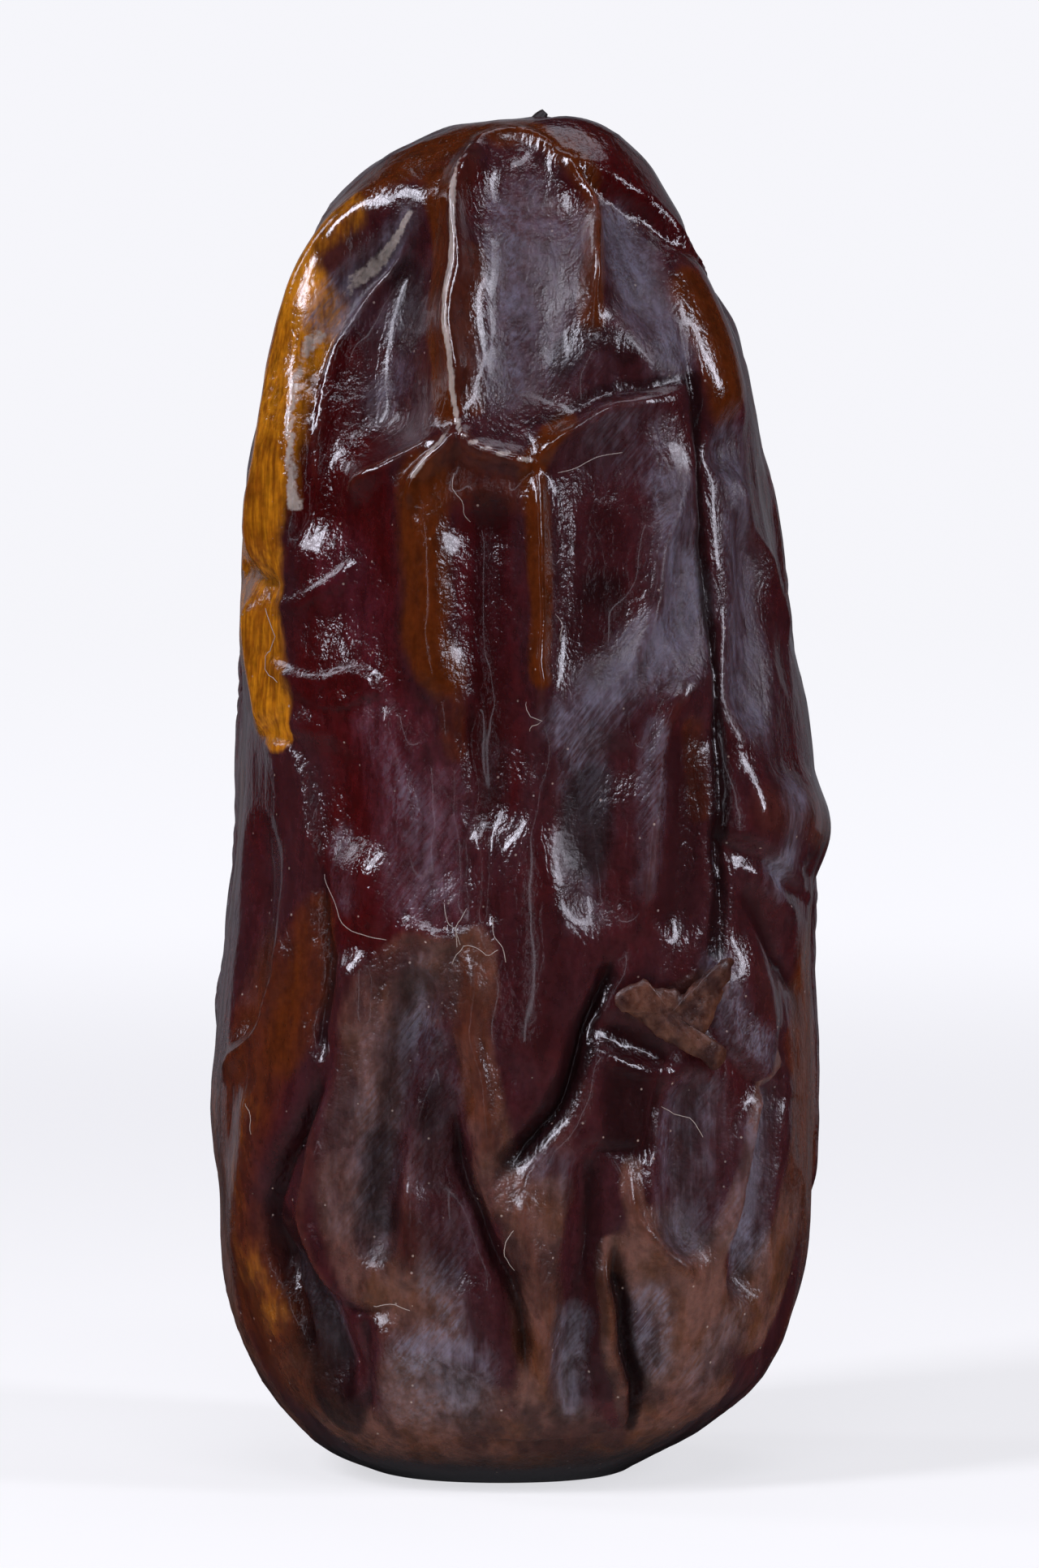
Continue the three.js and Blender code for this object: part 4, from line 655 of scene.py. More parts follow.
def make_skin():
    """The date's skin: one closed mesh, with its tints and its relief as attributes for the finish."""
    places, angles = skin_grid()
    all_places = np.repeat(places, SIDES)
    all_angles = np.tile(angles, RINGS)
    base = ring_points(all_places, all_angles)
    outward = outward_at(all_places, all_angles)
    drawn_on = strayed(base)
    relief, raised, sunk, cut = relief_of(drawn_on, outward)
    lengthwise = [0.9, 0.9, 5.0]
    wrinkle = WRINKLE * bumps(base, lengthwise, 3) + FINE_WRINKLE * bumps(base, [0.45, 0.45, 2.2], 5)
    dents = DENT * bumps(base, 2.9, 7) + SMALL_DENT * bumps(base, 1.3, 9)
    creased = LONG_CREASE * (1 - np.abs(bumps(base, [2.2, 2.2, 7.5], 13))) ** 5
    creased += SHORT_CREASE * (1 - np.abs(bumps(base, [1.3, 1.3, 2.8], 15))) ** 5
    creased *= np.clip(1.2 - raised / 0.5, 0.2, 1) * (0.4 + 0.6 * ease(0, 8, np.abs(base[:, 0] + 1)))
    lift = np.where(all_places < FLAT_SECTION, 0, ease(*FOOT_FADE, base[:, 2]))
    smoother = np.clip(1.15 - raised / 0.7, 0.35, 1)
    points = base + (lift * (relief + smoother * (wrinkle + dents) + creased))[:, None] * outward
    points[:, 2] = np.maximum(points[:, 2], 0)

    poles = ring_points(np.array([0.0, len(SECTIONS) - 1.0]), np.zeros(2))
    vertices = np.concatenate([poles[:1], points, poles[1:]]) * MM
    tip = len(vertices) - 1
    rows, columns = np.meshgrid(np.arange(RINGS - 1), np.arange(SIDES), indexing="ij")
    after = (columns + 1) % SIDES
    here, above = rows * SIDES, (rows + 1) * SIDES
    quads = np.stack([here + columns, here + after, above + after, above + columns], -1)
    faces = (quads.reshape(-1, 4) + 1).tolist()
    last_row = 1 + (RINGS - 1) * SIDES
    for k in range(SIDES):
        following = (k + 1) % SIDES
        faces.append([0, 1 + following, 1 + k])
        faces.append([tip, last_row + k, last_row + following])
    skin = make_object("date_skin", vertices, faces)
    layers = tints_of(drawn_on, outward)
    layers["raised"] = np.clip(raised / 0.7, 0, 1)
    layers["sunk"] = np.clip(sunk / 0.9, 0, 1)
    layers["cut"] = np.clip(cut / 0.5, 0, 1)
    for name, values in layers.items():
        attribute = skin.data.attributes.new(name, "FLOAT", "POINT")
        attribute.data.foreach_set("value", np.concatenate([[0], values, [0]]).astype(np.float32))
    skin.data.update()
    return skin


# The flake of torn skin that stands off the date, as its edge [x, z] seen from the front

FLAKE_EDGE = [
    [3.9, 19.5], [4.3, 19.9], [4.9, 20.15], [5.3, 19.8], [5.9, 19.9], [6.4, 19.6], [7.0, 20.3],
    [7.9, 21.1], [8.1, 20.7], [7.8, 19.6], [7.6, 18.6], [7.15, 17.8], [7.6, 17.6], [8.05, 17.15],
    [7.75, 16.5], [7.2, 16.7], [6.5, 17.3], [5.7, 17.75], [5.0, 18.4], [4.4, 18.7], [4.0, 19.0],
]
FLAKE_MIDDLE = [5.9, 18.8]
FLAKE_LIFT = 0.62  # how far its middle stands off the smooth body
FLAKE_THICKNESS = 0.08


def make_flake():
    """A thin curled sheet with a ragged edge: rings from its middle out to the edge, closed underneath."""
    steps = 4
    edge = through(FLAKE_EDGE + FLAKE_EDGE[:1], np.arange(len(FLAKE_EDGE) * steps) / steps)
    sides, rings = len(edge), 8
    edge += 0.13 * np.stack([bumps(np.c_[edge, edge[:, 0]], 0.28, seed) for seed in (41, 42)], 1)
    shares = np.arange(1, rings + 1) / rings
    flat = np.array(FLAKE_MIDDLE) + shares[:, None, None] * (edge - FLAKE_MIDDLE)
    flat = np.concatenate([[FLAKE_MIDDLE], flat.reshape(-1, 2)])
    base = seen_at(flat[:, 0], flat[:, 1])
    outward = base - np.array([0, 0, 1]) * base
    outward /= np.linalg.norm(outward, axis=1)[:, None]
    share = np.concatenate([[0], np.repeat(shares, sides)])
    curl = 0.5 * ease(6.6, 8.0, flat[:, 0]) * ease(18.5, 21, flat[:, 1])
    lift = FLAKE_LIFT - 0.2 * share ** 3 + curl + 0.16 * bumps(base, 1.5, 51) + 0.02 * bumps(base, 0.3, 52)
    upper = base + lift[:, None] * outward
    lower = upper - (FLAKE_THICKNESS * (1 - 0.7 * share ** 4))[:, None] * outward
    count = len(upper)
    faces = []
    for k in range(sides):
        following = (k + 1) % sides
        faces += [[0, 1 + following, 1 + k], [count, count + 1 + k, count + 1 + following]]
        for ring in range(rings - 1):
            a, b = 1 + ring * sides + k, 1 + ring * sides + following
            faces.append([a, b, b + sides, a + sides])
            faces.append([count + b, count + a, count + a + sides, count + b + sides])
        a, b = 1 + (rings - 1) * sides + k, 1 + (rings - 1) * sides + following
        faces.append([a, b, count + b, count + a])
    return make_object("torn_flake", np.concatenate([upper, lower]) * MM, faces)


# Stray fibres caught on the skin, [[x, z], ...] seen from the front, and the dried nub at the tip

FIBRES = [
    [[-2.7, 41.0], [-2.75, 40.3], [-2.4, 39.9], [-2.3, 39.3], [-1.9, 38.9]],
    [[1.6, 41.0], [2.4, 41.2], [3.2, 41.6], [4.2, 41.8]],
    [[-7.9, 24.5], [-7.3, 23.6], [-6.9, 22.5], [-6.2, 22.1], [-5.4, 21.8]],
    [[-1.0, 22.7], [-0.9, 22.0], [-0.55, 21.5], [-0.5, 20.9]],
    [[-2.7, 20.8], [-2.2, 21.5], [-1.5, 21.1], [-0.8, 21.4]],
    [[1.5, 35.2], [1.75, 34.8], [1.6, 34.4], [1.85, 34.1]],
    [[0.2, 10.0], [-0.25, 9.5], [-0.3, 8.9], [-0.1, 8.2]],
    [[0.3, 31.6], [0.9, 31.0], [0.4, 30.4]],
    [[-3.1, 23.3], [-2.9, 22.5], [-2.5, 21.8]],
    [[-2.2, 23.1], [-2.5, 22.4], [-2.6, 21.7]],
    [[-10.1, 35.4], [-9.6, 34.3], [-9.9, 33.2], [-9.3, 32.5]],
    [[-10.8, 15.0], [-10.4, 14.5], [-10.5, 13.8]],
    [[-6.0, 6.6], [-5.2, 6.9], [-4.5, 6.5]],
    [[6.0, 14.9], [6.9, 14.4], [7.4, 13.6]],
]
FIBRE_RADIUS = 0.015
FIBRE_LIFT = 0.12
NUB = [[0.75, 55.3], [0.85, 55.5], [1.05, 55.72]]
NUB_RADIUS = 0.38


def tube(line, radii, sides=6):
    """The points and faces of a closed round tube along a line."""
    along = np.gradient(line, axis=0)
    along /= np.linalg.norm(along, axis=1)[:, None]
    across = np.cross(along, [0.31, 0.87, 0.38])
    across /= np.linalg.norm(across, axis=1)[:, None]
    beside = np.cross(along, across)
    turn = 2 * np.pi * np.arange(sides) / sides
    around = np.cos(turn)[:, None] * across[:, None] + np.sin(turn)[:, None] * beside[:, None]
    points = (line[:, None] + np.asarray(radii)[:, None, None] * around).reshape(-1, 3)
    last = (len(line) - 1) * sides
    faces = [list(range(sides))[::-1], [last + k for k in range(sides)]]
    for row in range(0, last, sides):
        for k in range(sides):
            following = (k + 1) % sides
            faces.append([row + k, row + following, row + sides + following, row + sides + k])
    return points, faces


def make_tubes(name, lines):
    """One object from several [line, radii]."""
    all_points, all_faces = [], []
    count = 0
    for line, radii in lines:
        points, faces = tube(line, radii)
        all_points.append(points)
        all_faces += [[count + k for k in face] for face in faces]
        count += len(points)
    return make_object(name, np.concatenate(all_points) * MM, all_faces)


def make_fibres(skin):
    lines = []
    for points in FIBRES:
        line = traced_line(points, seen_at)
        for k, point in enumerate(line):
            _, place, normal, _ = skin.closest_point_on_mesh(Vector(point) * MM)
            arch = 0.25 * math.sin(math.pi * k / (len(line) - 1))
            line[k] = np.array(place) / MM + (FIBRE_LIFT + arch) * np.array(normal)
        lines.append([line, np.full(len(line), FIBRE_RADIUS)])
    return make_tubes("lint", lines)


def make_nub():
    flat = through(NUB, np.arange(9) / 4)
    line = np.c_[flat[:, 0], np.full(9, -0.2), flat[:, 1]]
    return make_tubes("tip_nub", [[line, NUB_RADIUS * (1 - 0.6 * np.arange(9) / 8)]])


# The finish of the skin

class Finish:
    """A small helper that adds shader nodes and joins them."""

    def __init__(self, name):
        self.material = bpy.data.materials.new(name)
        self.material.use_nodes = True
        self.tree = self.material.node_tree
        self.shader = self.tree.nodes["Principled BSDF"]

    def node(self, kind, **settings):
        made = self.tree.nodes.new(kind)
        for name, value in settings.items():
            setattr(made, name, value)
        return made

    def join(self, source, socket):
        self.tree.links.new(source, socket)

    def put(self, socket, value):
        if isinstance(value, bpy.types.NodeSocket):
            self.join(value, socket)
        else:
            socket.default_value = value

    def attribute(self, name):
        return self.node("ShaderNodeAttribute", attribute_name=name).outputs["Fac"]

    def sum(self, operation, first, second=0.0, third=0.0, clamp=False):
        made = self.node("ShaderNodeMath", operation=operation, use_clamp=clamp)
        for socket, value in zip(made.inputs, (first, second, third)):
            self.put(socket, value)
        return made.outputs[0]

    def mix(self, share, first, second, blend="MIX"):
        made = self.node("ShaderNodeMix", data_type="RGBA", blend_type=blend)
        self.put(made.inputs[0], share)
        self.put(made.inputs[6], first)
        self.put(made.inputs[7], second)
        return made.outputs[2]

    def between(self, value, low, high, new_low=0.0, new_high=1.0):
        made = self.node("ShaderNodeMapRange", interpolation_type="SMOOTHSTEP")
        for socket, given in zip(made.inputs, (value, low, high, new_low, new_high)):
            self.put(socket, given)
        return made.outputs[0]

    def scaled(self, where, size_mm, stretch=(1, 1, 1), shift=0.0):
        """The place that a pattern of this size reads, stretched along x, y and z."""
        placed = self.node("ShaderNodeMapping")
        placed.inputs["Location"].default_value = (shift, shift, shift)
        placed.inputs["Scale"].default_value = [1 / (size_mm * MM * s) for s in stretch]
        self.join(where, placed.inputs["Vector"])
        return placed.outputs[0]

    def noise(self, where, size_mm, detail=2.0, roughness=0.5, stretch=(1, 1, 1), shift=0.0):
        made = self.node("ShaderNodeTexNoise")
        self.join(self.scaled(where, size_mm, stretch, shift), made.inputs["Vector"])
        made.inputs["Scale"].default_value = 1.0
        made.inputs["Detail"].default_value = detail
        made.inputs["Roughness"].default_value = roughness
        return made.outputs["Fac"]

    def specks(self, where, size_mm, radius_mm):
        """Where tiny specks lie: near the middle of some of the cells of a random net."""
        made = self.node("ShaderNodeTexVoronoi", feature="F1")
        made.inputs["Scale"].default_value = 1.0
        self.join(self.scaled(where, size_mm), made.inputs["Vector"])
        inside = self.between(made.outputs["Distance"], radius_mm / size_mm, 0.5 * radius_mm / size_mm)
        parted = self.node("ShaderNodeSeparateXYZ")
        self.join(made.outputs["Color"], parted.inputs[0])
        return self.sum("MULTIPLY", inside, self.between(parted.outputs[0], 0.55, 0.62))

    def cells(self, where, size_mm, stretch, wander):
        """The distance to the nearest edge in a net of random cells, its lines made to wander."""
        moved = self.node("ShaderNodeVectorMath", operation="MULTIPLY_ADD")
        self.join(wander, moved.inputs[0])
        moved.inputs[1].default_value = (1.2 * MM, 1.2 * MM, 1.2 * MM)
        self.join(where, moved.inputs[2])
        made = self.node("ShaderNodeTexVoronoi", feature="DISTANCE_TO_EDGE")
        made.inputs["Scale"].default_value = 1.0
        self.join(self.scaled(moved.outputs[0], size_mm, stretch), made.inputs["Vector"])
        return made.outputs["Distance"]


def colour(red, green, blue):
    return (red, green, blue, 1.0)


PLUM = colour(0.038, 0.0090, 0.0115)
WINE = colour(0.046, 0.0024, 0.0027)
ROSE = colour(0.080, 0.0120, 0.0190)
# bright gold, partly the thin skin's own amber and partly a painted glow of light shining through it
GLOW_GOLD = colour(0.48, 0.172, 0.007)
AMBER = colour(0.078, 0.0150, 0.0028)
TAN = colour(0.128, 0.052, 0.038)
GLOW_HONEY = colour(0.20, 0.056, 0.0036)
UMBER = colour(0.046, 0.0170, 0.0135)
# grey waxy bloom, partly a painted sheen of the soft lamps
WAX_AND_SHEEN = colour(0.125, 0.112, 0.152)
SPECK = colour(0.33, 0.25, 0.22)
RUSSET = colour(0.092, 0.030, 0.0125)
# pale painted highlight for the sharpest crests
HIGHLIGHT_PALE = colour(0.42, 0.35, 0.31)
# near-black painted shade for the creases, folds and hollows
SHADE_BLACK = colour(0.008, 0.0022, 0.0026)
CREST = colour(0.080, 0.022, 0.013)


def skin_finish():
    f = Finish("date_skin")
    where = f.node("ShaderNodeTexCoord").outputs["Object"]
    blotch = f.noise(where, 2.4, 4, 0.6, (1, 1, 1.8))
    grain = f.noise(where, 0.55, 3, 0.6, (1, 1, 2.6), 3.7)
    speckle = f.noise(where, 0.16, 2, 0.5, shift=9.1)
    pebbles = f.noise(where, 0.3, 2, 0.55, shift=2.3)
    slanted = f.node("ShaderNodeMapping")
    slanted.inputs["Rotation"].default_value = (0, math.radians(52), 0)
    f.join(where, slanted.inputs["Vector"])
    strokes = f.noise(slanted.outputs[0], 0.11, 2, 0.6, (14, 1, 1), 7.7)
    fibre = f.noise(where, 0.16, 3, 0.6, (1, 1, 14), 5.3)
    ragged = f.sum("MULTIPLY_ADD", blotch, 1.2, f.sum("MULTIPLY_ADD", grain, 0.6, -0.95))

    def tinted(name, soft=0.28):
        """Where a tint shows, with its edge broken up by the blotches."""
        share = f.sum("MULTIPLY_ADD", ragged, 0.45, f.attribute(name))
        return f.between(share, 0.5 - soft, 0.5 + soft)

    shade = f.mix(f.sum("MULTIPLY", f.between(blotch, 0.35, 0.7), 0.5), PLUM, WINE)
    shade = f.mix(f.sum("MULTIPLY", tinted("wine"), f.between(blotch, 0.25, 0.6, 0.55, 1.0)), shade, WINE)
    broad = f.noise(where, 3.4, 4, 0.6, (1, 1, 1.5), 1.9)
    russet = f.mix(f.between(f.noise(where, 1.7, 4, 0.6, (1, 1, 1.6), 6.1), 0.42, 0.6), TAN, RUSSET)
    # darker umber where the skin is sunk: painted shade in the hollows, mixed with a random brown tone
    tan_share = f.sum("MULTIPLY_ADD", f.attribute("sunk"), -0.3, broad)
    brown = f.mix(f.between(tan_share, 0.38, 0.56), UMBER, russet)
    shade = f.mix(f.sum("MULTIPLY", tinted("rose", 0.4), f.between(grain, 0.2, 0.7, 0.5, 1.0)), shade, ROSE)
    shade = f.mix(f.sum("MULTIPLY", tinted("tan"), 0.9), shade, brown)
    shade = f.mix(f.sum("MULTIPLY", f.between(f.attribute("raised"), 0.45, 1.0), 0.35), shade, CREST)
    shade = f.mix(tinted("amber"), shade, AMBER)
    # gold along the left edge: the thin skin's amber with a painted glow of light shining through it
    glow_mottle = f.sum("MULTIPLY_ADD", fibre, 0.5, f.sum("MULTIPLY", blotch, 0.6))
    honey_and_glow = f.mix(f.between(glow_mottle, 0.42, 0.66), GLOW_HONEY, GLOW_GOLD)
    shade = f.mix(tinted("gold_and_glow", 0.3), shade, honey_and_glow)
    brushed = f.mix(f.between(broad, 0.44, 0.54), fibre, strokes)
    streaks = f.sum("MULTIPLY_ADD", brushed, 0.6, f.sum("MULTIPLY", grain, 0.4))
    patchy = f.between(streaks, 0.38, 0.66, 0.12, 1.0)
    patchy = f.sum("MULTIPLY", patchy, f.between(broad, 0.38, 0.62, 0.15, 1.0))
    core = f.between(f.sum("MULTIPLY_ADD", ragged, 0.5, f.attribute("bloom_and_sheen")), 0.7, 1.05)
    thick = f.sum("MULTIPLY", core, f.between(streaks, 0.32, 0.62, 0.25, 1.0))
    thick = f.sum("MULTIPLY", thick, f.between(broad, 0.34, 0.56, 0.5, 1.0))
    film_and_sheen = f.sum("MULTIPLY", tinted("bloom_and_sheen", 0.4), f.sum("MAXIMUM", patchy, thick))
    # grey waxy bloom mixed in, partly a painted sheen of the soft lamps
    shade = f.mix(f.sum("MULTIPLY", film_and_sheen, 0.8), shade, WAX_AND_SHEEN)
    # the creases darkened by their depth with painted shade
    shade = f.mix(f.sum("MULTIPLY", f.between(f.attribute("cut"), 0.35, 1.0), 0.7), shade, SHADE_BLACK)
    # near-black painted shade in the folds, creases and hollows
    shade = f.mix(f.sum("MULTIPLY", tinted("dark"), 0.8), shade, SHADE_BLACK)
    # a pale painted highlight along the sharpest crests
    painted_highlight = f.between(f.sum("MULTIPLY_ADD", speckle, 0.7, f.attribute("painted_highlight")), 0.6, 1.0, 0.0, 0.8)
    shade = f.mix(painted_highlight, shade, HIGHLIGHT_PALE)
    shade = f.mix(f.sum("MULTIPLY", f.specks(where, 0.7, 0.065), 0.75), shade, SPECK)
    mottle = f.sum("MULTIPLY_ADD", pebbles, 0.4, f.sum("MULTIPLY", grain, 0.6))
    mottle = f.between(mottle, 0.3, 0.7, 0.68, 1.3)
    shade = f.mix(1.0, shade, mottle, "MULTIPLY")
    f.join(shade, f.shader.inputs["Base Color"])

    satin = tinted("bloom_and_sheen", 0.4)
    dull = f.sum("MULTIPLY_ADD", satin, 0.18, f.sum("MULTIPLY", film_and_sheen, 0.25))
    dull = f.sum("ADD", dull, f.sum("MULTIPLY_ADD", tinted("tan"), 0.12, 0.22))
    dull = f.sum("MULTIPLY_ADD", tinted("wine"), -0.02, dull)
    dull = f.sum("MULTIPLY_ADD", f.attribute("raised"), -0.08, dull)
    rough = f.sum("MULTIPLY_ADD", blotch, 0.12, f.sum("SUBTRACT", dull, 0.14))
    rough = f.sum("MULTIPLY_ADD", speckle, 0.14, rough)
    f.join(rough, f.shader.inputs["Roughness"])
    varnish = f.sum("MULTIPLY_ADD", satin, -0.38, f.sum("MULTIPLY_ADD", tinted("tan"), -0.2, 0.4), clamp=True)
    f.join(varnish, f.shader.inputs["Coat Weight"])
    f.shader.inputs["Coat Roughness"].default_value = 0.07
    f.shader.inputs["Specular IOR Level"].default_value = 0.5
    f.shader.inputs["IOR"].default_value = 1.45
    f.shader.inputs["Subsurface Weight"].default_value = 0.12
    f.shader.inputs["Subsurface Radius"].default_value = (1.0, 0.3, 0.1)
    f.shader.inputs["Subsurface Scale"].default_value = 1.2 * MM

    crackle = f.between(f.cells(where, 1.0, (1, 1, 2.6), blotch), 0.0, 0.09)
    height = f.sum("MULTIPLY_ADD", fibre, 0.15, f.sum("MULTIPLY", speckle, 0.5))
    height = f.sum("MULTIPLY_ADD", grain, 0.9, height)
    pebbled = f.sum("MULTIPLY_ADD", tinted("wine"), 0.7, 0.8)
    pebbled = f.sum("MULTIPLY_ADD", tinted("tan"), 0.8, pebbled)
    height = f.sum("MULTIPLY_ADD", pebbles, pebbled, height)
    height = f.sum("MULTIPLY_ADD", strokes, f.sum("MULTIPLY", film_and_sheen, 0.4), height)
    height = f.sum("MULTIPLY_ADD", crackle, 0.22, height)
    bump = f.node("ShaderNodeBump")
    f.join(f.between(f.attribute("raised"), 0.2, 1.0, 0.75, 0.3), bump.inputs["Strength"])
    bump.inputs["Distance"].default_value = 0.06 * MM
    f.join(height, bump.inputs["Height"])
    f.join(bump.outputs[0], f.shader.inputs["Normal"])
    return f.material


def flake_finish():
    f = Finish("flake_skin")
    where = f.node("ShaderNodeTexCoord").outputs["Object"]
    blotch = f.noise(where, 1.2, 4, 0.6)
    grain = f.noise(where, 0.25, 3, 0.6)
    shade = f.mix(f.between(blotch, 0.35, 0.65), colour(0.030, 0.008, 0.006), colour(0.092, 0.030, 0.016))
    shade = f.mix(1.0, shade, f.between(grain, 0.25, 0.75, 0.7, 1.25), "MULTIPLY")
    f.join(shade, f.shader.inputs["Base Color"])
    f.join(f.between(grain, 0.2, 0.8, 0.25, 0.5), f.shader.inputs["Roughness"])
    f.shader.inputs["Subsurface Weight"].default_value = 0.1
    f.shader.inputs["Subsurface Radius"].default_value = (1.0, 0.3, 0.1)
    f.shader.inputs["Subsurface Scale"].default_value = 1.2 * MM
    bump = f.node("ShaderNodeBump")
    bump.inputs["Strength"].default_value = 0.8
    bump.inputs["Distance"].default_value = 0.05 * MM
    f.join(grain, bump.inputs["Height"])
    f.join(bump.outputs[0], f.shader.inputs["Normal"])
    return f.material


def plain_finish(name, red, green, blue, roughness):
    f = Finish(name)
    f.shader.inputs["Base Color"].default_value = colour(red, green, blue)
    f.shader.inputs["Roughness"].default_value = roughness
    return f.material


# The camera, at the photograph's height and distance, upright

CAMERA_RISE = math.radians(3.5)
CAMERA_DISTANCE = 340 * MM
FRAME_MIDDLE = 28.2 * MM
FRAME_HEIGHT = 64.4 * MM
SENSOR = 36


def make_camera():
    data = bpy.data.cameras.new("camera")
    data.sensor_width = SENSOR
    data.lens = SENSOR * CAMERA_DISTANCE / FRAME_HEIGHT
    camera = bpy.data.objects.new("camera", data)
    bpy.context.scene.collection.objects.link(camera)
    back = Vector((0, -math.cos(CAMERA_RISE), math.sin(CAMERA_RISE)))
    camera.location = Vector((0, 0, FRAME_MIDDLE)) + back * CAMERA_DISTANCE
    camera.rotation_euler = (-back).to_track_quat("-Z", "Y").to_euler()
    data.clip_start, data.clip_end = 0.01, 10
    bpy.context.scene.camera = camera


# The studio: a pale floor that curves up into a round wall, and soft lamps

FLOOR_RADIUS = 0.85
SWEEP_RADIUS = 0.45
WALL_HEIGHT = 1.5
PAPER = colour(0.36, 0.355, 0.33)
PAPER_FAR = colour(0.10, 0.10, 0.11)
FLOOR_GLOW = 0.70  # how strongly the paper glows under the date
FLOOR_GLOW_RISE = 0.27  # and how much more far behind it


def make_floor():
    """A turned profile: flat, then a quarter circle, then straight up."""
    arc = [k / 16 * math.pi / 2 for k in range(17)]
    profile = [(0.02 * k, 0.0) for k in range(1, int(FLOOR_RADIUS / 0.02))]
    profile += [(FLOOR_RADIUS + SWEEP_RADIUS * math.sin(a), SWEEP_RADIUS * (1 - math.cos(a))) for a in arc]
    profile.append((FLOOR_RADIUS + SWEEP_RADIUS, WALL_HEIGHT))
    sides = 96
    vertices = [(0, 0, 0)]
    for radius, z in profile:
        for k in range(sides):
            angle = 2 * math.pi * k / sides
            vertices.append((radius * math.cos(angle), radius * math.sin(angle), z))
    faces = [(0, 1 + k, 1 + (k + 1) % sides) for k in range(sides)]
    for row in range(len(profile) - 1):
        for k in range(sides):
            low, following = 1 + row * sides, (k + 1) % sides
            faces.append((low + k, low + sides + k, low + sides + following, low + following))
    floor = make_object("floor", np.array(vertices), faces)
    floor.visible_glossy = False
    floor.visible_diffuse = False
    f = Finish("paper")
    spot = f.node("ShaderNodeSeparateXYZ")
    f.join(f.node("ShaderNodeTexCoord").outputs["Object"], spot.inputs[0])
    across, along = spot.outputs[0], spot.outputs[1]
    squares = f.sum("MULTIPLY_ADD", across, across, f.sum("MULTIPLY", along, along))
    far = f.between(f.sum("SQRT", squares), 0.02, 0.30)
    f.join(f.mix(far, PAPER, PAPER_FAR), f.shader.inputs["Base Color"])
    f.shader.inputs["Roughness"].default_value = 0.9
    f.shader.inputs["Specular IOR Level"].default_value = 0.0
    f.shader.inputs["Emission Color"].default_value = colour(0.935, 0.935, 0.975)
    glow = f.sum("MULTIPLY_ADD", f.sum("MULTIPLY", far, far), FLOOR_GLOW_RISE, FLOOR_GLOW)
    f.join(glow, f.shader.inputs["Emission Strength"])
    floor.data.materials.append(f.material)


COOL = (0.86, 0.86, 1.0)
# Name, azimuth and rise in degrees, distance, width, height, watts
SOFTBOXES = [
    ["left_softbox", -50, 38, 0.60, 0.12, 0.30, 2.5],
    ["left_side_softbox", -102, 37, 0.60, 0.10, 0.22, 0.5],
    ["right_softbox", 66, 26, 0.60, 0.09, 0.34, 1.7],
    ["top_softbox", 150, 72, 0.7, 0.5, 0.25, 0.6],
    ["front_softbox", 4, 52, 0.60, 0.30, 0.08, 0.7],
    ["strip_softbox", -4, 8, 0.60, 0.02, 0.42, 0.12],
    ["right_rim_softbox", 148, 12, 0.60, 0.20, 0.45, 0.05],
    ["left_rim_softbox", -150, 12, 0.60, 0.20, 0.45, 0.06],
]
# Name, x, y, size, watts
FLOOR_SHEETS = [
    ["floor_glow_left", -0.0715, -0.02, 0.12, 0.04],
    ["floor_glow_right", 0.0715, -0.02, 0.12, 0.045],
    ["floor_glow_front", 0, -0.0705, 0.12, 0.04],
    ["foot_glow", 0, -0.0125, 0.005, 0.0001],
    ["foot_glow_left", -0.0065, -0.0115, 0.005, 0.0001],
    ["foot_glow_right", 0.0065, -0.0115, 0.005, 0.00015],
]
SHEET_HEIGHT = 0.0003


def make_lamp(name, azimuth, rise, distance, width, height, watts):
    """A softbox that faces the date, azimuth degrees round from the camera towards +X."""
    data = bpy.data.lights.new(name, "AREA")
    data.shape = "RECTANGLE"
    data.size, data.size_y = width, height
    data.energy = watts
    data.color = COOL
    lamp = bpy.data.objects.new(name, data)
    bpy.context.scene.collection.objects.link(lamp)
    a, e = math.radians(azimuth), math.radians(rise)
    back = Vector((math.sin(a) * math.cos(e), -math.cos(a) * math.cos(e), math.sin(e)))
    lamp.location = Vector((0, 0, FRAME_MIDDLE)) + back * distance
    lamp.rotation_euler = (-back).to_track_quat("-Z", "Y").to_euler()
    lamp.visible_camera = False


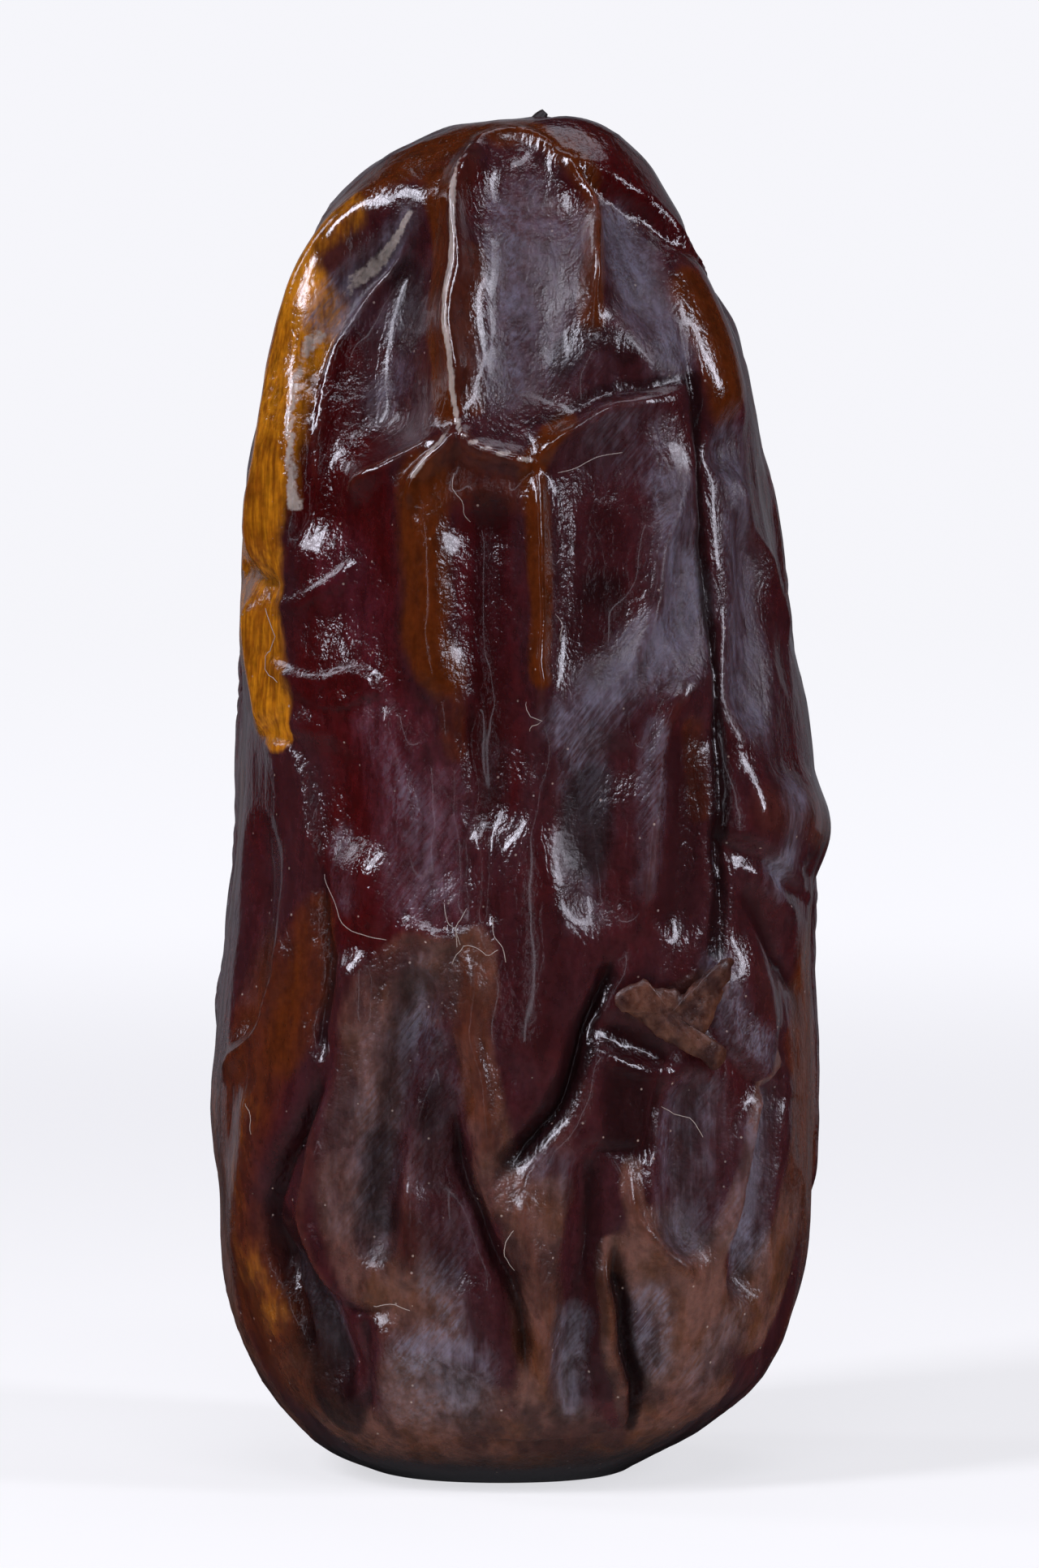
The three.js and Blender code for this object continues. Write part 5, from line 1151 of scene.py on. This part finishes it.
def make_floor_glow(name, x, y, size, watts):
    """A sheet just above the floor, for the light that the pale floor throws back up at the date."""
    data = bpy.data.lights.new(name, "AREA")
    data.shape = "SQUARE"
    data.size = size
    data.energy = watts
    glow = bpy.data.objects.new(name, data)
    bpy.context.scene.collection.objects.link(glow)
    glow.location = (x, y, SHEET_HEIGHT)
    glow.rotation_euler = (math.pi, 0, 0)
    glow.visible_camera = False
    glow.visible_glossy = False


def make_world():
    """Dark in front, so that the skin shines only where the softboxes and the pale sides stand."""
    world = bpy.data.worlds.new("studio")
    world.use_nodes = True
    w = Finish.__new__(Finish)
    w.tree = world.node_tree
    direction = w.node("ShaderNodeSeparateXYZ")
    w.join(w.node("ShaderNodeTexCoord").outputs["Generated"], direction.inputs[0])
    aside = w.between(w.sum("ABSOLUTE", direction.outputs["X"]), 0.35, 0.8)
    behind = w.between(direction.outputs["Y"], -0.1, 0.5)
    below = w.between(direction.outputs["Z"], -0.25, -0.9)
    straight = w.between(direction.outputs["Y"], 0.88, 1.0)
    pale = w.sum("MAXIMUM", w.sum("MULTIPLY", w.sum("MULTIPLY", aside, behind), 0.06), straight)
    pale = w.sum("MULTIPLY", pale, w.between(direction.outputs["Z"], -0.25, 0.1))
    glow = w.sum("MULTIPLY_ADD", pale, 0.24, 0.004)
    background = world.node_tree.nodes["Background"]
    background.inputs["Color"].default_value = colour(0.88, 0.88, 1.0)
    w.join(w.sum("MULTIPLY_ADD", below, 0.1, glow), background.inputs["Strength"])
    bpy.context.scene.world = world


make_camera()
make_floor()
make_world()
for lamp in SOFTBOXES:
    make_lamp(*lamp)
for sheet in FLOOR_SHEETS:
    make_floor_glow(*sheet)
bpy.context.scene.view_settings.view_transform = "Standard"

skin = make_skin()
skin.data.materials.append(skin_finish())
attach(skin, "root")
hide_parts("date")
flake = make_flake()
flake.data.materials.append(flake_finish())
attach(flake, "root")
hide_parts("date")

lint = make_fibres(skin)
lint.data.materials.append(plain_finish("lint", 0.34, 0.28, 0.25, 0.6))
nub = make_nub()
nub.data.materials.append(plain_finish("nub", 0.012, 0.006, 0.005, 0.5))
for piece in (lint, nub):
    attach(piece, "root")
    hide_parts("date")
